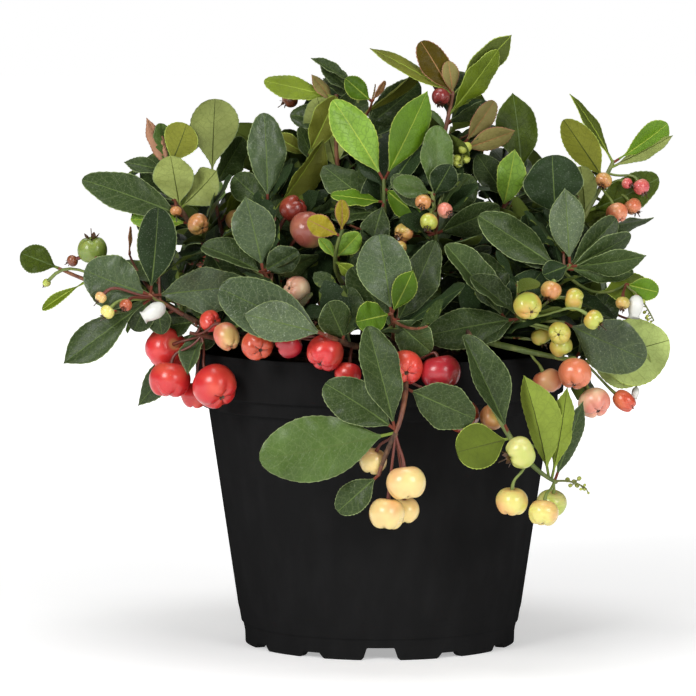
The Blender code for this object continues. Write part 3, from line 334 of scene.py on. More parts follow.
                 (0.5, 182, -3, 16.5, 4.6, "crimson"), (0.6, 184, -14, 26, 4.9, "ember", (-0.3, 0.85, 0.4))],
        more=[(0.5, 82, -25, 19, 12, 15, "dark")]),
    "front_centre": dict(
        stem=((4, -36, 97), (4, -52, 103), (3, -64, 111)),
        leaves=[(0.95, 97, 5, 25, 16.5, 10, "grey"), (1, 61, 12, 15, 7.5, 15, "fresh pointed"),
                (1, 190, 25, 12, 10.5, 12, "fresh"), (0.6, 120, -5, 24, 13, 18, "dark"),
                (0.7, 60, -6, 30, 12, 22, "dark")],
        berries=[],
        more=[(0.92, 316, 8, 16, 12, 12, "dark")]),
    "left": dict(
        stem=((-42, -24, 98), (-58, -32, 106), (-73, -36, 115)),
        leaves=[(1, 161, 8, 22, 17, 10, "grey"), (1, 82, 10, 28, 12.5, 15, "deep"),
                (0.97, 8, 15, 32, 15, 12, "grey"), (0.95, 216, 8, 35, 12.5, 20, "dark wedge pointed"),
                (0.9, 275, 5, 11, 8, 20, "dark"), (0.35, 223, -29, 42, 9.5, 30, "dark pointed"),
                (0.4, 240, 38, 18.5, 8, 50, "grey pointed folded")],
        more=[(0.5, 188, -30, 13, 9, 15, "dark"), (0.25, 200, -20, 9.5, 7.5, 20, "dark"),
              (0.97, 242, -2, 12.5, 9, 15, "dark")],
        berries=[(0.95, 145, -30, 28, 4.8, "green", (0.05, 0.2, -1))],
        twigs=[dict(at=0.9, via=(-88, -26, 117), tip=(-103, -15, 122),
                    leaves=[(1, 156, 0, 13.3, 9.5, 15, "forest"), (0.65, 208, 0, 17.5, 4, 20, "moss wedge")],
                    berries=[]),
               dict(at=0.2, via=(-52, -35, 101), tip=(-60, -38, 103),
                    leaves=[],
                    berries=[(0.9, 2, 50, 15.5, 4, "striped", (-0.4, 0.45, 0.8), 1.25),
                             (0.8, 202, -37, 15.5, 6.7, "ruby", (0.5, -0.8, 0.3)),
                             (0.8, 234, 2, 17, 6.4, "red", (0.1, 0.15, 1)),
                             (0.8, 286, 26, 17.5, 7.2, "red", (-0.45, 0.6, 0.66)),
                             (0.8, 263, -21, 21, 4.4, "red"), (0.9, 44, 16, 6.5, 3.4, "red")])],
        small=[(0.95, 158, -26, 31.4, 1.9, "maroon"), (0.95, 179, 14, 17.2, 1.9, "striped"),
               (0.95, 189, 23, 15.8, 2.3, "lemon"), (0.95, 194, 45, 11.7, 2, "brown"),
               (0.95, 293, 65, 9.2, 2.7, "bell"), (0.95, 175, -32, 41.5, 1.4, "wax")],
        shoots=[dict(at=0.9, via=(-76, -28, 120.4), tip=(-79.4, -28, 127.1),
                     leaves=[(1, 86, 0, 9, 1.6, 40, "dry")])]),
}

# The masses of the sides and the back: their stem, and how many leaves and berries the rule gives them.
BACK_MASSES = {
    "left_side": (((-44, 4, 100), (-62, 8, 108), (-80, 10, 113)), 13, 3),
    "right_side": (((44, 4, 100), (64, 8, 104), (80, 10, 108)), 13, 3),
    "back_left": (((-30, 20, 104), (-48, 34, 116), (-60, 44, 132)), 15, 3),
    "back_centre": (((-4, 26, 106), (-6, 42, 122), (-6, 54, 144)), 15, 3),
    "back_right": (((28, 22, 104), (46, 34, 118), (58, 42, 134)), 15, 3),
    "back_low_left": (((-24, 38, 98), (-36, 54, 100), (-48, 68, 98)), 14, 4),
    "back_low_right": (((24, 40, 98), (36, 56, 100), (46, 70, 98)), 14, 4),
    "back_hanging": (((2, 56, 99), (2, 74, 88), (0, 78, 74)), 8, 4),
    "back_crest_left": (((-14, 16, 114), (-22, 24, 140), (-28, 27, 162)), 14, 2),
    "back_crest_right": (((12, 16, 114), (18, 24, 142), (24, 28, 166)), 14, 2),
}


def bearing(clock, toward):
    """The unit vector of a clock angle and a toward angle."""
    clock, toward = math.radians(clock), math.radians(toward)
    level = math.cos(toward)
    return Vector((math.cos(clock) * level, -math.sin(toward), math.sin(clock) * level))


def turned(along, face, turn):
    """The face direction, squared to the midrib and then turned about it."""
    face = (face - along * face.dot(along)).normalized()
    return Matrix.Rotation(math.radians(turn), 3, along) @ face


def on_limb(limb, t):
    """The point at t, from 0 to 1, on the parabola through a limb's start, middle and tip."""
    start, middle, tip = (Vector(point) for point in limb)
    pull = 2 * middle - (start + tip) / 2
    return (1 - t) ** 2 * start + 2 * t * (1 - t) * pull + t * t * tip


def heading(limb, t):
    """The unit direction of a limb at t."""
    return (on_limb(limb, t + HEADING_STEP) - on_limb(limb, t - HEADING_STEP)).normalized()


def between(ends, t):
    return ends[0] + (ends[1] - ends[0]) * t


def limb_points(limb, radii):
    """Points along a limb and its radius at each."""
    stations = [step / (LIMB_POINTS - 1) for step in range(LIMB_POINTS)]
    return [on_limb(limb, t) for t in stations], [between(radii, t) for t in stations]


def loft(rings, tip):
    """A closed solid through rings of points, flat at its first ring and pointed at its tip."""
    points = [point for ring in rings for point in ring] + [tip]
    count = len(rings[0])
    last = len(points) - 1 - count
    faces = [tuple(reversed(range(count)))]
    for low in range(0, last, count):
        faces += [(low + k, low + (k + 1) % count, low + count + (k + 1) % count, low + count + k)
                  for k in range(count)]
    faces += [(last + k, last + (k + 1) % count, last + count) for k in range(count)]
    return points, faces


def ring_round(centre, side, up, count):
    """Points round a centre, on the ellipse that side and up span."""
    turns = [2 * math.pi * k / count for k in range(count)]
    return [centre + side * math.cos(turn) + up * math.sin(turn) for turn in turns]


def leaf_shape(root, along, face, length, width, start=0.0, swell=0.0):
    """The source's plain leaf from the share start of its length on, to test a leaf's room with."""
    side = along.cross(face)
    rings = []
    for station, share in LEAF_RINGS:
        station = max(station, start)
        half = max(share * width / 2, STALK_RADIUS) + swell
        middle = root + along * (length * station) - face * (LEAF_CURL * length * station**2)
        edge = side * half
        lift = face * (LEAF_FOLD * half + swell)
        keel = face * (LEAF_THICKNESS + swell)
        rings.append([middle + edge + lift, middle - edge + lift, middle - keel])
    tip = root + along * (length + swell) - face * (LEAF_CURL * length)
    return loft(rings, tip)


def ball_shape(centre, radius):
    """A coarse ball, to test a berry's room with."""
    rings = []
    for height in BALL_LEVELS:
        across = radius * math.sqrt(1 - height**2) * ROOM_MARGIN
        level = centre + Vector((0, 0, radius * height))
        rings.append(ring_round(level, Vector((across, 0, 0)), Vector((0, across, 0)), BALL_SIDES))
    return loft(rings, centre + Vector((0, 0, radius)))


def rod_shape(points, radii):
    """A coarse rod along points, to test a limb's room with."""
    rings = []
    for index, point in enumerate(points):
        before, after = points[max(index - 1, 0)], points[min(index + 1, len(points) - 1)]
        along = (after - before).normalized()
        side = along.orthogonal().normalized() * radii[index] * ROOM_MARGIN
        rings.append(ring_round(point, side, along.cross(side), ROD_SIDES))
    return loft(rings, points[-1] + (points[-1] - points[-2]).normalized() * HEADING_STEP)


class Growth:
    """What stands already. A new piece must clear all of it, and its own mass too with its outer part."""

    MOST = 4000

    def __init__(self):
        self.pieces = []
        self.centres = np.zeros((self.MOST, 3))
        self.radii = np.zeros(self.MOST)

    @staticmethod
    def measured(whole, outer):
        """The centre, radius and trees of a piece."""
        centre = sum(whole[0], Vector()) / len(whole[0])
        radius = max((point - centre).length for point in whole[0])
        outer_tree = BVHTree.FromPolygons(*outer) if outer else None
        return centre, radius, BVHTree.FromPolygons(*whole), outer_tree

    def add(self, mass, whole, outer):
        centre, radius, tree, outer_tree = self.measured(whole, outer)
        self.centres[len(self.pieces)] = centre
        self.radii[len(self.pieces)] = radius
        self.pieces.append((mass, tree, outer_tree))

    def is_clear(self, mass, whole, outer):
        """Whether a piece, given already swollen by the gap, cuts nothing that stands."""
        centre, radius, tree, outer_tree = self.measured(whole, outer)
        count = len(self.pieces)
        apart = np.linalg.norm(self.centres[:count] - np.array(centre), axis=1)
        for index in np.flatnonzero(apart <= radius + self.radii[:count]):
            other_mass, other_tree, other_outer = self.pieces[index]
            if other_mass != mass:
                if tree.overlap(other_tree):
                    return False
            elif outer_tree and other_outer and outer_tree.overlap(other_outer):
                return False
        return True


def together(first, second):
    """Two shapes as one list of points and one of faces."""
    shift = len(first[0])
    return first[0] + second[0], first[1] + [tuple(k + shift for k in face) for face in second[1]]


def berry_shape(root, along, reach, radius, swell=0.0):
    """A berry's ball with the stalk that it hangs on, to test its room with."""
    centre = root + along * reach
    stalk = rod_shape([root, centre], [STALK_RADIUS + swell] * 2)
    return together(ball_shape(centre, radius + swell), stalk)


def place_leaf(growth, name, leaf):
    """Adds a leaf where it clears everything, and says whether it did."""
    outer = leaf_shape(*leaf, start=OUTER_SHARE)
    if not growth.is_clear(name, leaf_shape(*leaf, swell=GAP), outer):
        return False
    growth.add(name, leaf_shape(*leaf), outer)
    return True


def place_berry(growth, name, berry):
    """Adds a berry where it clears everything, and says whether it did."""
    root, along, reach, radius = berry
    ball = ball_shape(root + along * reach, radius)
    if not growth.is_clear(name, berry_shape(*berry, swell=GAP), ball):
        return False
    growth.add(name, berry_shape(*berry), ball)
    return True


def leaf_of(limb, row, clock_by=0, toward_by=0, turn_by=0, size=1):
    """A leaf as its row says, or with its angles changed and its size multiplied."""
    station, clock, toward, length, width, turn, _ = row
    along = bearing(clock + clock_by, toward + toward_by)
    root = on_limb(limb, min(station, LAST_STATION))
    return root, along, turned(along, FRONT, turn + turn_by), length * size, width * size


def set_leaf(growth, name, limb, row):
    """A leaf that is listed in a row. It takes the room that it has in the source, where it is nudged or made a
    little smaller when it would touch another mass, but it is shown as its row says."""
    any(place_leaf(growth, name, leaf_of(limb, row, *nudge, size)) for size in LEAF_SIZES for nudge in LEAF_NUDGES)
    return [(leaf_of(limb, row), row[-1])]


def set_berry(growth, name, limb, row):
    """A berry that is listed, nudged or made a little smaller where it would touch another mass."""
    station, clock, toward, reach, radius, *look = row
    root = on_limb(limb, min(station, LAST_STATION))
    for size in BERRY_SIZES:
        for more_clock, more_toward, more_reach in BERRY_NUDGES:
            along = bearing(clock + more_clock, toward + more_toward)
            berry = (root, along, reach + more_reach, radius * size)
            if place_berry(growth, name, berry):
                return [(berry, look)]
    return []


def in_reach(point):
    """Whether a point lies in the room that the crown fills."""
    return sum(((point[k] - REACH_CENTRE[k]) / REACH[k]) ** 2 for k in range(3)) < 1


def in_heart(point):
    """Whether a point is seen in the crown's dense heart, or would be if the leaves in front were away."""
    seen = PLAN_EYE + (point - PLAN_EYE) * (PLAN_EYE.y / (PLAN_EYE.y - point.y))
    across = (seen.x - HEART_CENTRE.x) / HEART.x
    up = (seen.z - HEART_CENTRE.z) / HEART.z
    return across**2 + up**2 < 1 and seen.z > FILL_FLOOR


def keeps_view(front, points):
    """Whether points hide nothing that is set in front, and show only in the crown's heart."""
    for point in points:
        sight = (point - PLAN_EYE).normalized()
        if front.ray_cast(point, sight, FAR)[0]:
            return False
        if not in_heart(point) and not front.ray_cast(point, -sight, FAR)[0]:
            return False
    return True


def fill_leaves(growth, front, name, limb, count, chance, lengths=FILL_LENGTH):
    """Leaves by rule: in a spiral up the limb, wide open at its foot, less at its tip, top to the light."""
    leaves = []
    for step in range(count):
        for _ in range(FILL_TRIES):
            station = between(FILL_STATIONS, (step + chance.random()) / count)
            root, up_limb = on_limb(limb, station), heading(limb, station)
            spread = chance.uniform(-FILL_OPENING_SPREAD, FILL_OPENING_SPREAD)
            opening = math.radians(between(FILL_OPENING, station) + spread)
            spread = chance.uniform(-FILL_ROUND_SPREAD, FILL_ROUND_SPREAD)
            round_limb = math.radians(GOLDEN_ANGLE * step) + spread
            outwards = Matrix.Rotation(round_limb, 3, up_limb) @ up_limb.orthogonal().normalized()
            along = up_limb * math.cos(opening) + outwards * math.sin(opening)
            light = Vector((root.x, root.y, LIGHT_RISE * max(root.xy.length, 1.0))).normalized()
            length = chance.uniform(*lengths)
            width = length * chance.uniform(*FILL_SHAPE)
            face = turned(along, light, chance.uniform(-FILL_TURN, FILL_TURN))
            leaf = (root, along, face, length, width)
            points = leaf_shape(*leaf)[0][3:]
            if in_reach(points[-1]) and keeps_view(front, points) and place_leaf(growth, name, leaf):
                leaves.append(leaf)
                break
    return leaves


def fill_berries(growth, front, name, limb, count, chance):
    """Berries by rule: they hang below the outer half of the limb."""
    berries = []
    for step in range(count):
        for _ in range(FILL_TRIES):
            root = on_limb(limb, between(FILL_BERRY_STATIONS, (step + chance.random()) / count))
            outwards = Vector((root.x, root.y, 0)).normalized()
            aside = [chance.uniform(-FILL_BERRY_ASIDE, FILL_BERRY_ASIDE) for _ in range(2)]
            drop = chance.uniform(*FILL_BERRY_DROP)
            along = (outwards * FILL_BERRY_OUTWARDS + Vector((*aside, drop))).normalized()
            berry = (root, along, chance.uniform(*FILL_BERRY_REACH), chance.uniform(*FILL_BERRY_RADIUS))
            points = ball_shape(root + along * berry[2], berry[3])[0]
            if in_reach(points[-1]) and keeps_view(front, points) and place_berry(growth, name, berry):
                berries.append(berry)
                break
    return berries


def plan_limbs():
    """Each mass's stem and twigs, with their radii and the rows of what they carry."""
    limbs = {name: [(mass["stem"], STEM_RADIUS, mass)] for name, mass in MASSES.items()}
    for name, mass in MASSES.items():
        for twig in mass.get("twigs", []):
            limb = (on_limb(mass["stem"], twig["at"]), twig["via"], twig["tip"])
            limbs[name].append((limb, TWIG_RADIUS, twig))
    limbs.update({name: [(stem, STEM_RADIUS, None)] for name, (stem, _, _) in BACK_MASSES.items()})
    return limbs


def solid_shape(node):
    """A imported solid's points, in millimetres, and its triangles."""
    mesh = node.data
    mesh.calc_loop_triangles()
    points = [node.matrix_world @ vertex.co / MM for vertex in mesh.vertices]
    return points, [tuple(triangle.vertices) for triangle in mesh.loop_triangles]


def crown_radius(height):
    """The crown's radius at a height above its foot."""
    return between((CROWN_FLARE, CROWN_RADIUS), min(height / (FLARE_SHARE * CROWN_HEIGHT), 1.0))


def bough_route(foot, out, stem, pull_share):
    """A bough's points: straight out of the crown, then round into its mass's stem, 0.3 mm short of it."""
    ahead = (on_limb(stem, 1 / (LIMB_POINTS - 1)) - Vector(stem[0])).normalized()
    end = Vector(stem[0]) - ahead * GAP
    first, last = foot + out * BOUGH_STRAIGHT, end - ahead * BOUGH_STRAIGHT
    pull = (last - first).length * pull_share
    corners = (first, first + out * pull, last - ahead * pull, last)
    route = [foot]
    for step in range(BOUGH_POINTS):
        t = step / (BOUGH_POINTS - 1)
        weights = ((1 - t) ** 3, 3 * t * (1 - t) ** 2, 3 * t * t * (1 - t), t**3)
        route.append(sum((corner * weight for corner, weight in zip(corners, weights)), Vector()))
    return route + [end]


def bough_choices(stem):
    """Routes from the crown to a stem, the straightest first: from the level that suits its height."""
    start = Vector(stem[0])
    level_wanted = (start.z - LOWEST_START) / (HIGHEST_START - LOWEST_START)
    for level in sorted(BOUGH_LEVELS, key=lambda level: abs(level - level_wanted)):
        height = level * CROWN_HEIGHT
        for shift in BOUGH_SHIFTS:
            round_crown = math.atan2(start.y, start.x) + math.radians(shift)
            out = Vector((math.cos(round_crown), math.sin(round_crown), 0))
            across = crown_radius(height - BOUGH_RADIUS[0]) + GAP + CROWN_BULGE
            foot = out * across + Vector((0, 0, SOIL_TOP + GAP + height))
            for pull_share in BOUGH_PULLS:
                yield bough_route(foot, out, stem, pull_share)


def route_boughs(growth, stems):
    """The route and radii of each mass's bough, clear of crown, pot, soil, stems and the other boughs."""
    boughs = {}
    count = BOUGH_POINTS + 2
    radii = [between(BOUGH_RADIUS, step / (count - 1)) for step in range(count)]
    swollen = [radius + GAP for radius in radii]
    for name, stem in stems.items():
        for route in bough_choices(stem):
            tried = [route[0] + (route[1] - route[0]) * TRIED_FROM, *route[1:]]
            if growth.is_clear(name, rod_shape(tried, swollen), None):
                growth.add(None, rod_shape(route, radii), None)
                boughs[name] = (route, radii)
                break
    return boughs


def fill_tone(name, leaf, chance):
    """The tone of a leaf that the rule grew: dark, as painted shade, in the crown's heart and in the masses in front,
    and mixed on its outside.
    """
    tip = leaf[0] + leaf[1] * leaf[3]
    depth = math.sqrt(sum(((tip[k] - REACH_CENTRE[k]) / REACH[k]) ** 2 for k in range(3)))
    pick = chance.random()
    # Painted shade: fill leaves deep in the crown, and all that fill the masses in front, mostly get the darkest,
    # near-black tone.
    if name in MASSES or depth < 0.62:
        return "deep" if pick < 0.7 else "dark"
    for share, tone in ((0.42, "dark"), (0.6, "grey"), (0.78, "mid"), (0.88, "fresh"), (0.94, "olive"),
                        (0.97, "bright")):
        if pick < share:
            return tone
    return "deep"


def fine_twig(growth, front, name, stem, step, chance):
    """A short twig by rule, from the stem of a mass, or nothing where no try is clear."""
    for _ in range(FILL_TRIES):
        station = between(FINE_TWIG_STATIONS, (step + chance.random()) / FINE_TWIGS)
        root, up_stem = on_limb(stem, station), heading(stem, station)
        opening = math.radians(chance.uniform(*FINE_TWIG_OPENING))
        round_stem = math.radians(GOLDEN_ANGLE * step) + chance.uniform(-FILL_ROUND_SPREAD, FILL_ROUND_SPREAD)
        outwards = Matrix.Rotation(round_stem, 3, up_stem) @ up_stem.orthogonal().normalized()
        along = up_stem * math.cos(opening) + outwards * math.sin(opening)
        length = chance.uniform(*FINE_TWIG_LENGTH)
        tip = root + along * length + Vector((0, 0, FINE_TWIG_RISE * length))
        limb = (root, root + along * length / 2, tip)
        points, radii = limb_points(limb, FINE_TWIG_RADIUS)
        swollen = rod_shape(points, [radius + GAP for radius in radii])
        if in_reach(tip) and keeps_view(front, points[1:]) and growth.is_clear(name, swollen, None):
            growth.add(name, rod_shape(points, radii), None)
            return limb
    return None


def grow():
    """The whole plant: limbs, boughs, and each mass's leaves and berries with their tones.

    It goes through the same tests and draws as the source. Then come the small berries that are listed, and the
    twigs and leaves of the finer growth, with draws of their own."""
    growth = Growth()
    pot_shape = solid_shape(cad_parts["pot"])
    growth.add(None, pot_shape, None)
    for name in ("soil", "crown"):
        growth.add(None, solid_shape(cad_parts[name]), None)
    limbs = plan_limbs()
    for name, own in limbs.items():
        for limb, radii, _ in own:
            growth.add(name, rod_shape(*limb_points(limb, radii)), None)
    boughs = route_boughs(growth, {name: own[0][0] for name, own in limbs.items()})
    grown = {name: dict(limbs=[(limb[0], limb[1], "stem") for limb in own], set_leaves=[], leaves=[],
                        fine_leaves=[], berries=[]) for name, own in limbs.items()}
    for name in MASSES:
        for limb, _, rows in limbs[name]:
            for row in rows["berries"]:
                grown[name]["berries"] += set_berry(growth, name, limb, row)
    for name in MASSES:
        for limb, _, rows in limbs[name]:
            for row in rows["leaves"]:
                grown[name]["set_leaves"] += set_leaf(growth, name, limb, row)
    front = pot_shape
    for mass in grown.values():
        for leaf, _ in mass["set_leaves"]:
            front = together(front, leaf_shape(*leaf))
        for (root, along, reach, radius), _ in mass["berries"]:
            front = together(front, ball_shape(root + along * reach, radius))
    front = BVHTree.FromPolygons(*front)
    for name, own in limbs.items():
        chance = random.Random(f"{SEED} {name}")
        tones = random.Random(f"{SEED} {name} tones")
        _, leaves, berries = BACK_MASSES.get(name, (None, FILL_PER_FRONT_MASS, 0))
        for berry in fill_berries(growth, front, name, own[0][0], berries, chance):
            grown[name]["berries"].append((berry, [tones.choice(FILL_BERRY_TONES)]))
        for leaf in fill_leaves(growth, front, name, own[0][0], leaves, chance):
            grown[name]["leaves"].append((leaf, fill_tone(name, leaf, tones)))
    for name in MASSES:
        for limb, _, rows in limbs[name]:
            for row in rows.get("small", []):
                grown[name]["berries"] += set_berry(growth, name, limb, row)
    for name, mass in MASSES.items():
        grown[name]["set_leaves"] += [(leaf_of(mass["stem"], row), row[-1]) for row in mass.get("more", [])]
        for shoot in mass.get("shoots", []):
            limb = (on_limb(mass["stem"], shoot["at"]), shoot["via"], shoot["tip"])
            grown[name]["limbs"].append((limb, FINE_TWIG_RADIUS, "fine"))
            grown[name]["set_leaves"] += [(leaf_of(limb, row), row[-1]) for row in shoot["leaves"]]
            for station, clock, toward, reach, radius, *look in shoot.get("berries", []):
                berry = (on_limb(limb, min(station, LAST_STATION)), bearing(clock, toward), reach, radius)
                grown[name]["berries"].append((berry, look))
    for name, own in limbs.items():
        chance = random.Random(f"{SEED} {name} finer")
        tones = random.Random(f"{SEED} {name} finer tones")
        stem = own[0][0]
        for step in range(FINE_TWIGS):
            twig = fine_twig(growth, front, name, stem, step, chance)
            if twig:
                grown[name]["limbs"].append((twig, FINE_TWIG_RADIUS, "fine"))
                for leaf in fill_leaves(growth, front, name, twig, FINE_LEAVES, chance, FINE_LEAF_LENGTH):
                    grown[name]["fine_leaves"].append((leaf, fill_tone(name, leaf, tones)))
        for leaf in fill_leaves(growth, front, name, stem, SMALL_LEAVES, chance, SMALL_LEAF_LENGTH):
            grown[name]["fine_leaves"].append((leaf, fill_tone(name, leaf, tones)))
    return grown, boughs


def unit(vector):
    vector = np.array(vector, float)
    return vector / np.linalg.norm(vector)


def smooth(low, high, value):
    """0 below low, 1 above high, and an even curve between."""
    t = np.clip((value - low) / (high - low), 0, 1)
    return t * t * (3 - 2 * t)


class Batch:
    """Closed surfaces gathered as arrays, to be joined in one piece."""

    def __init__(self):
        self.points, self.places = [], []
        self.quads, self.quad_slots = [], []
        self.fans, self.fan_slots = [], []
        self.count = 0

    def skin(self, rings, slots=0, places=None, poles=None):
        """Adds the closed surface through rings of points that follow one another along a path.

        Quads join each ring to the next, and a fan of triangles closes either end at its pole, which is
        the middle of the end ring where none is given."""
        rings = np.asarray(rings, float)
        rows, around = rings.shape[:2]
        slots = np.broadcast_to(slots, (rows - 1, around))
        places = np.zeros_like(rings) if places is None else places
        poles = rings[[0, -1]].mean(axis=1) if poles is None else np.asarray(poles, float)
        index = self.count + np.arange(rows * around).reshape(rows, around)
        beside = np.roll(index, -1, axis=1)
        quads = np.stack((index[:-1], beside[:-1], beside[1:], index[1:]), axis=-1)
        low = np.full(around, self.count + rows * around)
        fans = np.concatenate((np.stack((beside[0], index[0], low), axis=-1),
                               np.stack((index[-1], beside[-1], low + 1), axis=-1)))
        self.quads.append(quads.reshape(-1, 4))
        self.quad_slots.append(slots.reshape(-1))
        self.fans.append(fans)
        self.fan_slots.append(np.concatenate((slots[0], slots[-1])))
        self.points += [rings.reshape(-1, 3), poles]
        self.places += [places.reshape(-1, 3), places[[0, -1]].mean(axis=1)]
        self.count += rows * around + 2

    def triangles(self):
        return 2 * sum(len(quads) for quads in self.quads) + sum(len(fans) for fans in self.fans)

    def piece(self, name, materials, sharp=40.0):
        """Joins the surfaces into one object that rides on the body, sharp where faces meet steeply."""
        quads, fans = np.concatenate(self.quads), np.concatenate(self.fans)
        corners = np.concatenate((quads.ravel(), fans.ravel())).astype(np.int32)
        starts = np.concatenate((np.arange(len(quads)) * 4, len(quads) * 4 + np.arange(len(fans)) * 3))
        slots = np.concatenate(self.quad_slots + self.fan_slots).astype(np.int32)
        mesh = bpy.data.meshes.new(name)
        mesh.vertices.add(self.count)
        mesh.vertices.foreach_set("co", (np.concatenate(self.points) * MM).astype(np.float32).ravel())
        mesh.loops.add(len(corners))
        mesh.loops.foreach_set("vertex_index", corners)
        mesh.polygons.add(len(starts))
        mesh.polygons.foreach_set("loop_start", starts.astype(np.int32))
        mesh.polygons.foreach_set("material_index", slots)
        mesh.update(calc_edges=True)
        place = mesh.attributes.new("place", "FLOAT_VECTOR", "POINT")
        place.data.foreach_set("vector", np.concatenate(self.places).astype(np.float32).ravel())
        for material in materials:
            mesh.materials.append(material)
        mesh.shade_smooth()
        mesh.set_sharp_from_angle(angle=math.radians(sharp))
        obj = bpy.data.objects.new(name, mesh)
        bpy.context.scene.collection.objects.link(obj)
        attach(obj, "root")
        return obj


def frames(path):
    """Unit directions along a path of points, with a side and an up across each that turn as little as can be."""
    ahead = np.gradient(path, axis=0)
    ahead /= np.linalg.norm(ahead, axis=1, keepdims=True)
    side = unit(np.cross(ahead[0], (0.31, 0.17, 0.94)))
    sides = np.empty_like(path)
    for row, way in enumerate(ahead):
        side = unit(side - way * side.dot(way))
        sides[row] = side
    return ahead, sides, np.cross(ahead, sides)


def tube(batch, path, radii, around=8, slots=0, swell=None, places=None):
    """A round skin along a path: each ring is radius times the circle that side and up span there.

    swell multiplies the radius by station and by turn, for bark relief."""
    path = np.asarray(path, float)
    _, side, up = frames(path)
    turn = np.arange(around) * 2 * math.pi / around
    radius = np.asarray(radii, float)[:, None] * (np.ones(around) if swell is None else swell)
    rings = path[:, None] + radius[..., None] * (side[:, None] * np.cos(turn)[:, None]
                                                 + up[:, None] * np.sin(turn)[:, None])
    if places is not None:
        places = np.broadcast_to(places, rings.shape)
    batch.skin(rings, slots, places)


def curve_through(points, count):
    """Points evenly along the smooth curve, Catmull and Rom's, that passes through the given ones."""
    points = np.asarray(points, float)
    ends = (2 * points[0] - points[1], *points, 2 * points[-1] - points[-2])
    t = np.linspace(0, len(points) - 1, count)
    left = np.minimum(t.astype(int), len(points) - 2)
    u = (t - left)[:, None]
    a, b, c, d = (np.array(ends)[left + k] for k in range(4))
    return 0.5 * (2 * b + (c - a) * u + (2 * a - 5 * b + 4 * c - d) * u**2 + (3 * b - a - 3 * c + d) * u**3)


def bezier(start, first, second, end, count):
    """Points along the cubic curve of four corners."""
    t = np.linspace(0, 1, count)[:, None]
    return ((1 - t) ** 3 * start + 3 * t * (1 - t) ** 2 * first + 3 * t * t * (1 - t) * second + t**3 * end)


# Leaves: rows along the blade, whether it has a strip for its rim and its midrib, and how strong its relief is
LEAF_GRADES = dict(shown=(42, True, 1.0), filling=(11, True, 0.5), fine=(7, False, 0.0))
PETIOLE_SHARE = 0.1
PETIOLE_HALF = 0.46
BLADE_PEAK = 1.195
WEDGE_PEAK = 1.8
FULLNESS = (0.9, 0.68, 0.6)
WEDGE_FULLNESS = (1.25, 0.85, 0.6)
FULLNESS_AT = (0.0, 0.3, 0.64, 1.0)
TIP_BLUNT = (0.42, 0.6)
TIP_POINTED = 1.2
FOLDED = 0.75
BLADE_THICKNESS = 0.2
RIM_STRIP = 0.14
RIB_STRIP = 0.17
TOOTH = 0.2
TOOTH_ROWS = 3
SIDE_VEINS = (5.5, 8.0)
VEIN_SLANT = 1.5


def across_leaf(half, rise, strips):
    """Where a leaf's section has its points, from -1 to 1 over the top and back under, row by row.

    Strips of their own width run along both rims and along the midrib."""
    rim = 1 - np.clip(RIM_STRIP / half, 0.015, 0.2)
    rib = np.clip(RIB_STRIP * (1.5 - 1.0 * rise) / half, 0.01, 0.14)
    one = np.ones_like(half)
    if not strips:
        top = [-one, -0.55 * one, 0 * one, 0.55 * one, one]
        under = [0.55 * one, 0 * one, -0.55 * one]
    else:
        top = [-one, -rim, -0.72 * one, -0.45 * one, -0.2 * one, -rib,
               rib, 0.2 * one, 0.45 * one, 0.72 * one, rim, one]
        under = [rim, 0.45 * one, rib, -rib, -0.45 * one, -rim]
    return np.stack(top + under, axis=1), len(top)


